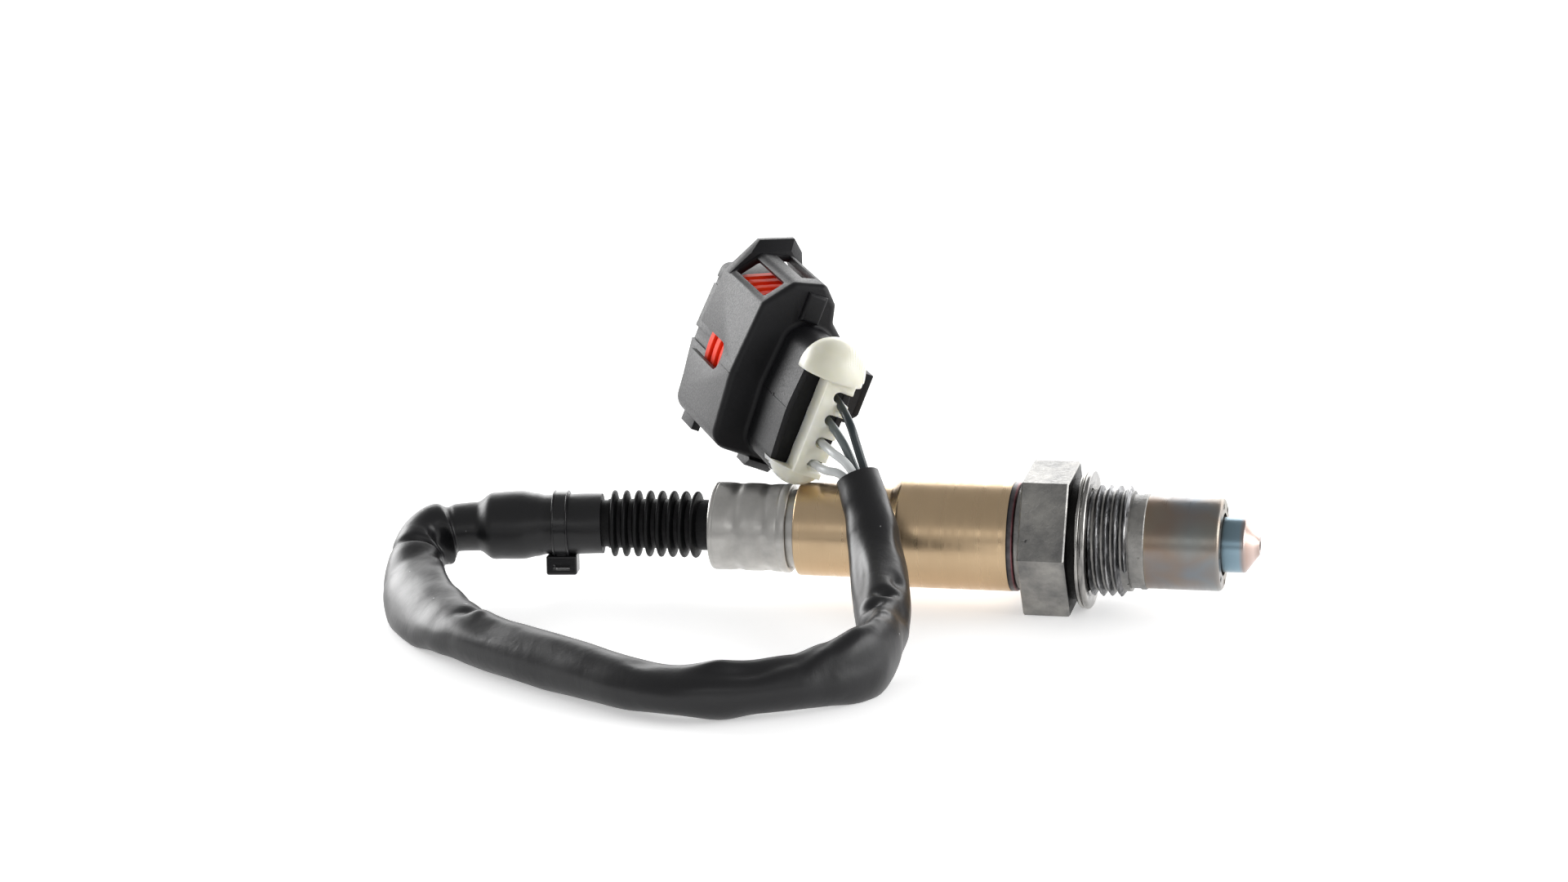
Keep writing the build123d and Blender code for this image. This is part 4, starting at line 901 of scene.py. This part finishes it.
wires = dict(
    diameter=1.4, steps=12, sides=5,
    black=(
        (-44.6, 1.05, 1.05), (-71.79, 1.05, 1.05), (-97.95, -2.63, 0.8), (-109.3, -4.33, 0.19),
        (-110.19, -15.5, -4.84), (-106.04, -28.15, -6.08), (-92.72, -42.7, -6.29), (-75.23, -53.82, -6.19),
        (-54.7, -65.38, -6.29), (-37.36, -58.28, -6.18), (-26.76, -51.92, -6.29), (-24.76, -43.72, -6.18),
        (-26.4, -33.45, -3.51), (-30.2, -17.86, 1.09), (-32.82, -11.03, 7.52), (-35.91, -7.16, 13.19),
        (-39.16, -4.52, 22.49), (-46.89, 10.17, 22.75),
    ),
    grey=(
        (-44.6, 1.05, -1.05), (-71.78, 1.05, -1.05), (-97.89, -2.62, -1.3), (-108.51, -4.22, -1.87),
        (-109.37, -14.9, -6.68), (-105.22, -27.56, -7.92), (-92.07, -41.92, -8.13), (-74.71, -52.96, -8.03),
        (-54.63, -64.26, -8.13), (-37.82, -57.37, -8.03), (-27.63, -51.26, -8.13), (-25.73, -43.43, -8.02),
        (-27.37, -33.14, -5.35), (-31.26, -17.19, -0.64), (-34.0, -10.03, 6.09), (-37.12, -6.12, 11.82),
        (-40.57, -5.2, 18.92), (-48.29, 9.5, 19.18),
    ),
    upperWhite=(
        (-44.6, -1.05, 1.05), (-71.64, -1.05, 1.05), (-97.65, -4.7, 0.8), (-107.49, -6.18, 0.27),
        (-108.23, -15.5, -3.92), (-104.38, -27.24, -5.08), (-91.53, -41.28, -5.27), (-74.29, -52.24, -5.17),
        (-54.57, -63.34, -5.27), (-38.18, -56.63, -5.17), (-28.37, -50.74, -5.27), (-26.67, -43.77, -5.18),
        (-28.23, -34.06, -2.65), (-31.94, -18.81, 1.84), (-34.4, -12.37, 7.91), (-37.39, -8.63, 13.39),
        (-41.97, -5.87, 15.34), (-49.69, 8.82, 15.6),
    ),
    lowerWhite=(
        (-44.6, -1.05, -1.05), (-71.63, -1.05, -1.05), (-97.59, -4.7, -1.3), (-106.7, -6.07, -1.79),
        (-107.41, -14.9, -5.76), (-103.56, -26.65, -6.92), (-90.88, -40.5, -7.11), (-73.77, -51.38, -7.01),
        (-54.5, -62.22, -7.11), (-38.64, -55.72, -7.02), (-29.24, -50.08, -7.11), (-27.64, -43.48, -7.02),
        (-29.2, -33.75, -4.49), (-33.0, -18.14, 0.11), (-35.58, -11.37, 6.48), (-38.6, -7.6, 12.02),
        (-43.38, -6.54, 11.77), (-51.1, 8.15, 12.03),
    ),
)


def smoothCurve(name, corners, steps):
    line = bpy.data.curves.new(name, "CURVE")
    line.dimensions = "3D"
    line.resolution_u = steps
    spline = line.splines.new("NURBS")
    spline.points.add(len(corners) - 1)
    for point, corner in zip(spline.points, corners):
        point.co = (*(Vector(corner) * mm), 1)
    spline.order_u = 3
    spline.use_endpoint_u = True
    curve = bpy.data.objects.new(name, line)
    bpy.context.collection.objects.link(curve)
    return curve


def pointsAlong(curve):
    mesh = bpy.data.meshes.new_from_object(curve)
    points = [v.co / mm for v in mesh.vertices]
    bpy.data.meshes.remove(mesh)
    return points


def lengthOf(points):
    return sum((b - a).length for a, b in zip(points, points[1:]))


def between(table, station):
    # the values at a station, eased from row to row
    for low, high in zip(table, table[1:]):
        if station <= high[0]:
            share = max(0.0, (station - low[0]) / (high[0] - low[0]))
            share = share * share * (3 - 2 * share)
            return [a + (b - a) * share for a, b in zip(low[1:], high[1:])]
    return list(table[-1][1:])


def dentDepth(station, angle):
    depth = 0.0
    for place, facing, reach, spread, deep in lead["dents"]:
        off = (angle - facing + 180) % 360 - 180
        depth += deep * exp(-((station - place) / reach) ** 2 - (off / spread) ** 2)
    return depth


def ringOf(centre, run, station, shrink):
    side = run.cross(Vector((0, 0, 1))).normalized()
    over = side.cross(run).normalized()
    width, height, twist, lift = between(lead["sections"], station)
    wide = side * cos(radians(twist)) + over * sin(radians(twist))
    tall = over * cos(radians(twist)) - side * sin(radians(twist))
    ring = []
    for number in range(lead["around"]):
        turn = tau * number / lead["around"]
        point = wide * cos(turn) * width / 2 + tall * sin(turn) * height / 2
        ripple = noise.noise(centre * lead["rippleAlong"] + point * lead["rippleRound"]) * lead["ripple"]
        loss = dentDepth(station, turn * 360 / tau) - ripple + shrink
        placed = centre + over * lift + point - point.normalized() * loss
        placed.z = max(placed.z, lead["ground"])
        ring.append(placed)
    return ring


def buildSleeve():
    guide = smoothCurve("sleeveLine", lead["corners"], lead["steps"])
    points = pointsAlong(guide)
    bpy.data.objects.remove(guide)
    length = lengthOf(points)
    stations = [0.0]
    for a, b in zip(points, points[1:]):
        stations.append(stations[-1] + (b - a).length)
    runs = [(b - a).normalized() for a, b in zip(points[:1] + points[:-1], points[1:] + points[-1:])]
    rings = [ringOf(p, r, s, 0) for p, r, s in zip(points, runs, stations)]
    # the mouth rolls in and back down inside, and the cuff closes on the boot's tail
    inside = [i for i, s in enumerate(stations) if s > length - lead["mouthDepth"]]
    rings += [ringOf(points[i], runs[i], stations[i], lead["wall"]) for i in reversed(inside)]
    around = lead["around"]
    vertices = [v for ring in rings for v in ring]
    faces = []
    for row in range(len(rings) - 1):
        for k in range(around):
            a, b = row * around + k, row * around + (k + 1) % around
            faces.append((a, a + around, b + around, b))
    faces.append(tuple(range(around)))
    last = (len(rings) - 1) * around
    faces.append(tuple(reversed(range(last, last + around))))
    sleeve = meshObject("leadSleeve", vertices, [], faces, finish["sleeve"])
    pick(sleeve)
    bpy.ops.object.mode_set(mode="EDIT")
    bpy.ops.mesh.select_all(action="SELECT")
    bpy.ops.mesh.normals_make_consistent(inside=False)
    bpy.ops.object.mode_set(mode="OBJECT")
    bpy.ops.object.shade_smooth_by_angle(angle=radians(smoothing))
    # the cut end against the bellows is matt
    sleeve.data.materials.append(finish["boot"])
    for face in sleeve.data.polygons:
        near = (face.center - points[0] * mm).length < lead["cutEndReach"] * mm
        if near and face.normal.dot(runs[0]) < lead["cutEndFacing"]:
            face.material_index = 1
    standFor(sleeve, "cable_sleeve")
    print("sleeve", round(length, 1), "mm")


def buildWire(name, node, corners, material):
    wire = smoothCurve(name, corners, wires["steps"])
    length = lengthOf(pointsAlong(wire))
    wire.data.bevel_depth = wires["diameter"] / 2 * mm
    wire.data.bevel_resolution = wires["sides"]
    wire.data.use_fill_caps = True
    wire.data.materials.append(material)
    standFor(wire, node)
    print(name, round(length, 1), "mm")


buildSleeve()
for name, node, route, shade in (
    ("blackLeadWire", "wire_black", "black", "black"),
    ("greyLeadWire", "wire_grey", "grey", "grey"),
    ("whiteLeadWireUpper", "wire_white_1", "upperWhite", "white"),
    ("whiteLeadWireLower", "wire_white_2", "lowerWhite", "white"),
):
    buildWire(name, node, wires[route], finish[shade + "Wire"])


# finishes of the nodes that keep their own shape

nodeFinish = dict(
    outer_protection_tube="can", inner_protection_tube="innerCan", sensing_element="zirconia",
    front_ceramic_bush="steatite", packing_ring="packing", rear_ceramic_bush="steatite",
    retaining_ring="ferrule", outer_sleeve="bronze", weld_bead="weld", contact_holder="holder",
    bellows_boot="boot", cable_tie="tie", interface_seal="seal", wire_mat_seal="boot",
)
for number in (1, 2, 3, 4):
    nodeFinish[f"contact_spring_{number}"] = "contact"
    nodeFinish[f"terminal_{number}"] = "contact"
for name, kind in nodeFinish.items():
    nodes[name].data.materials.clear()
    nodes[name].data.materials.append(finish[kind])
print("node finishes")
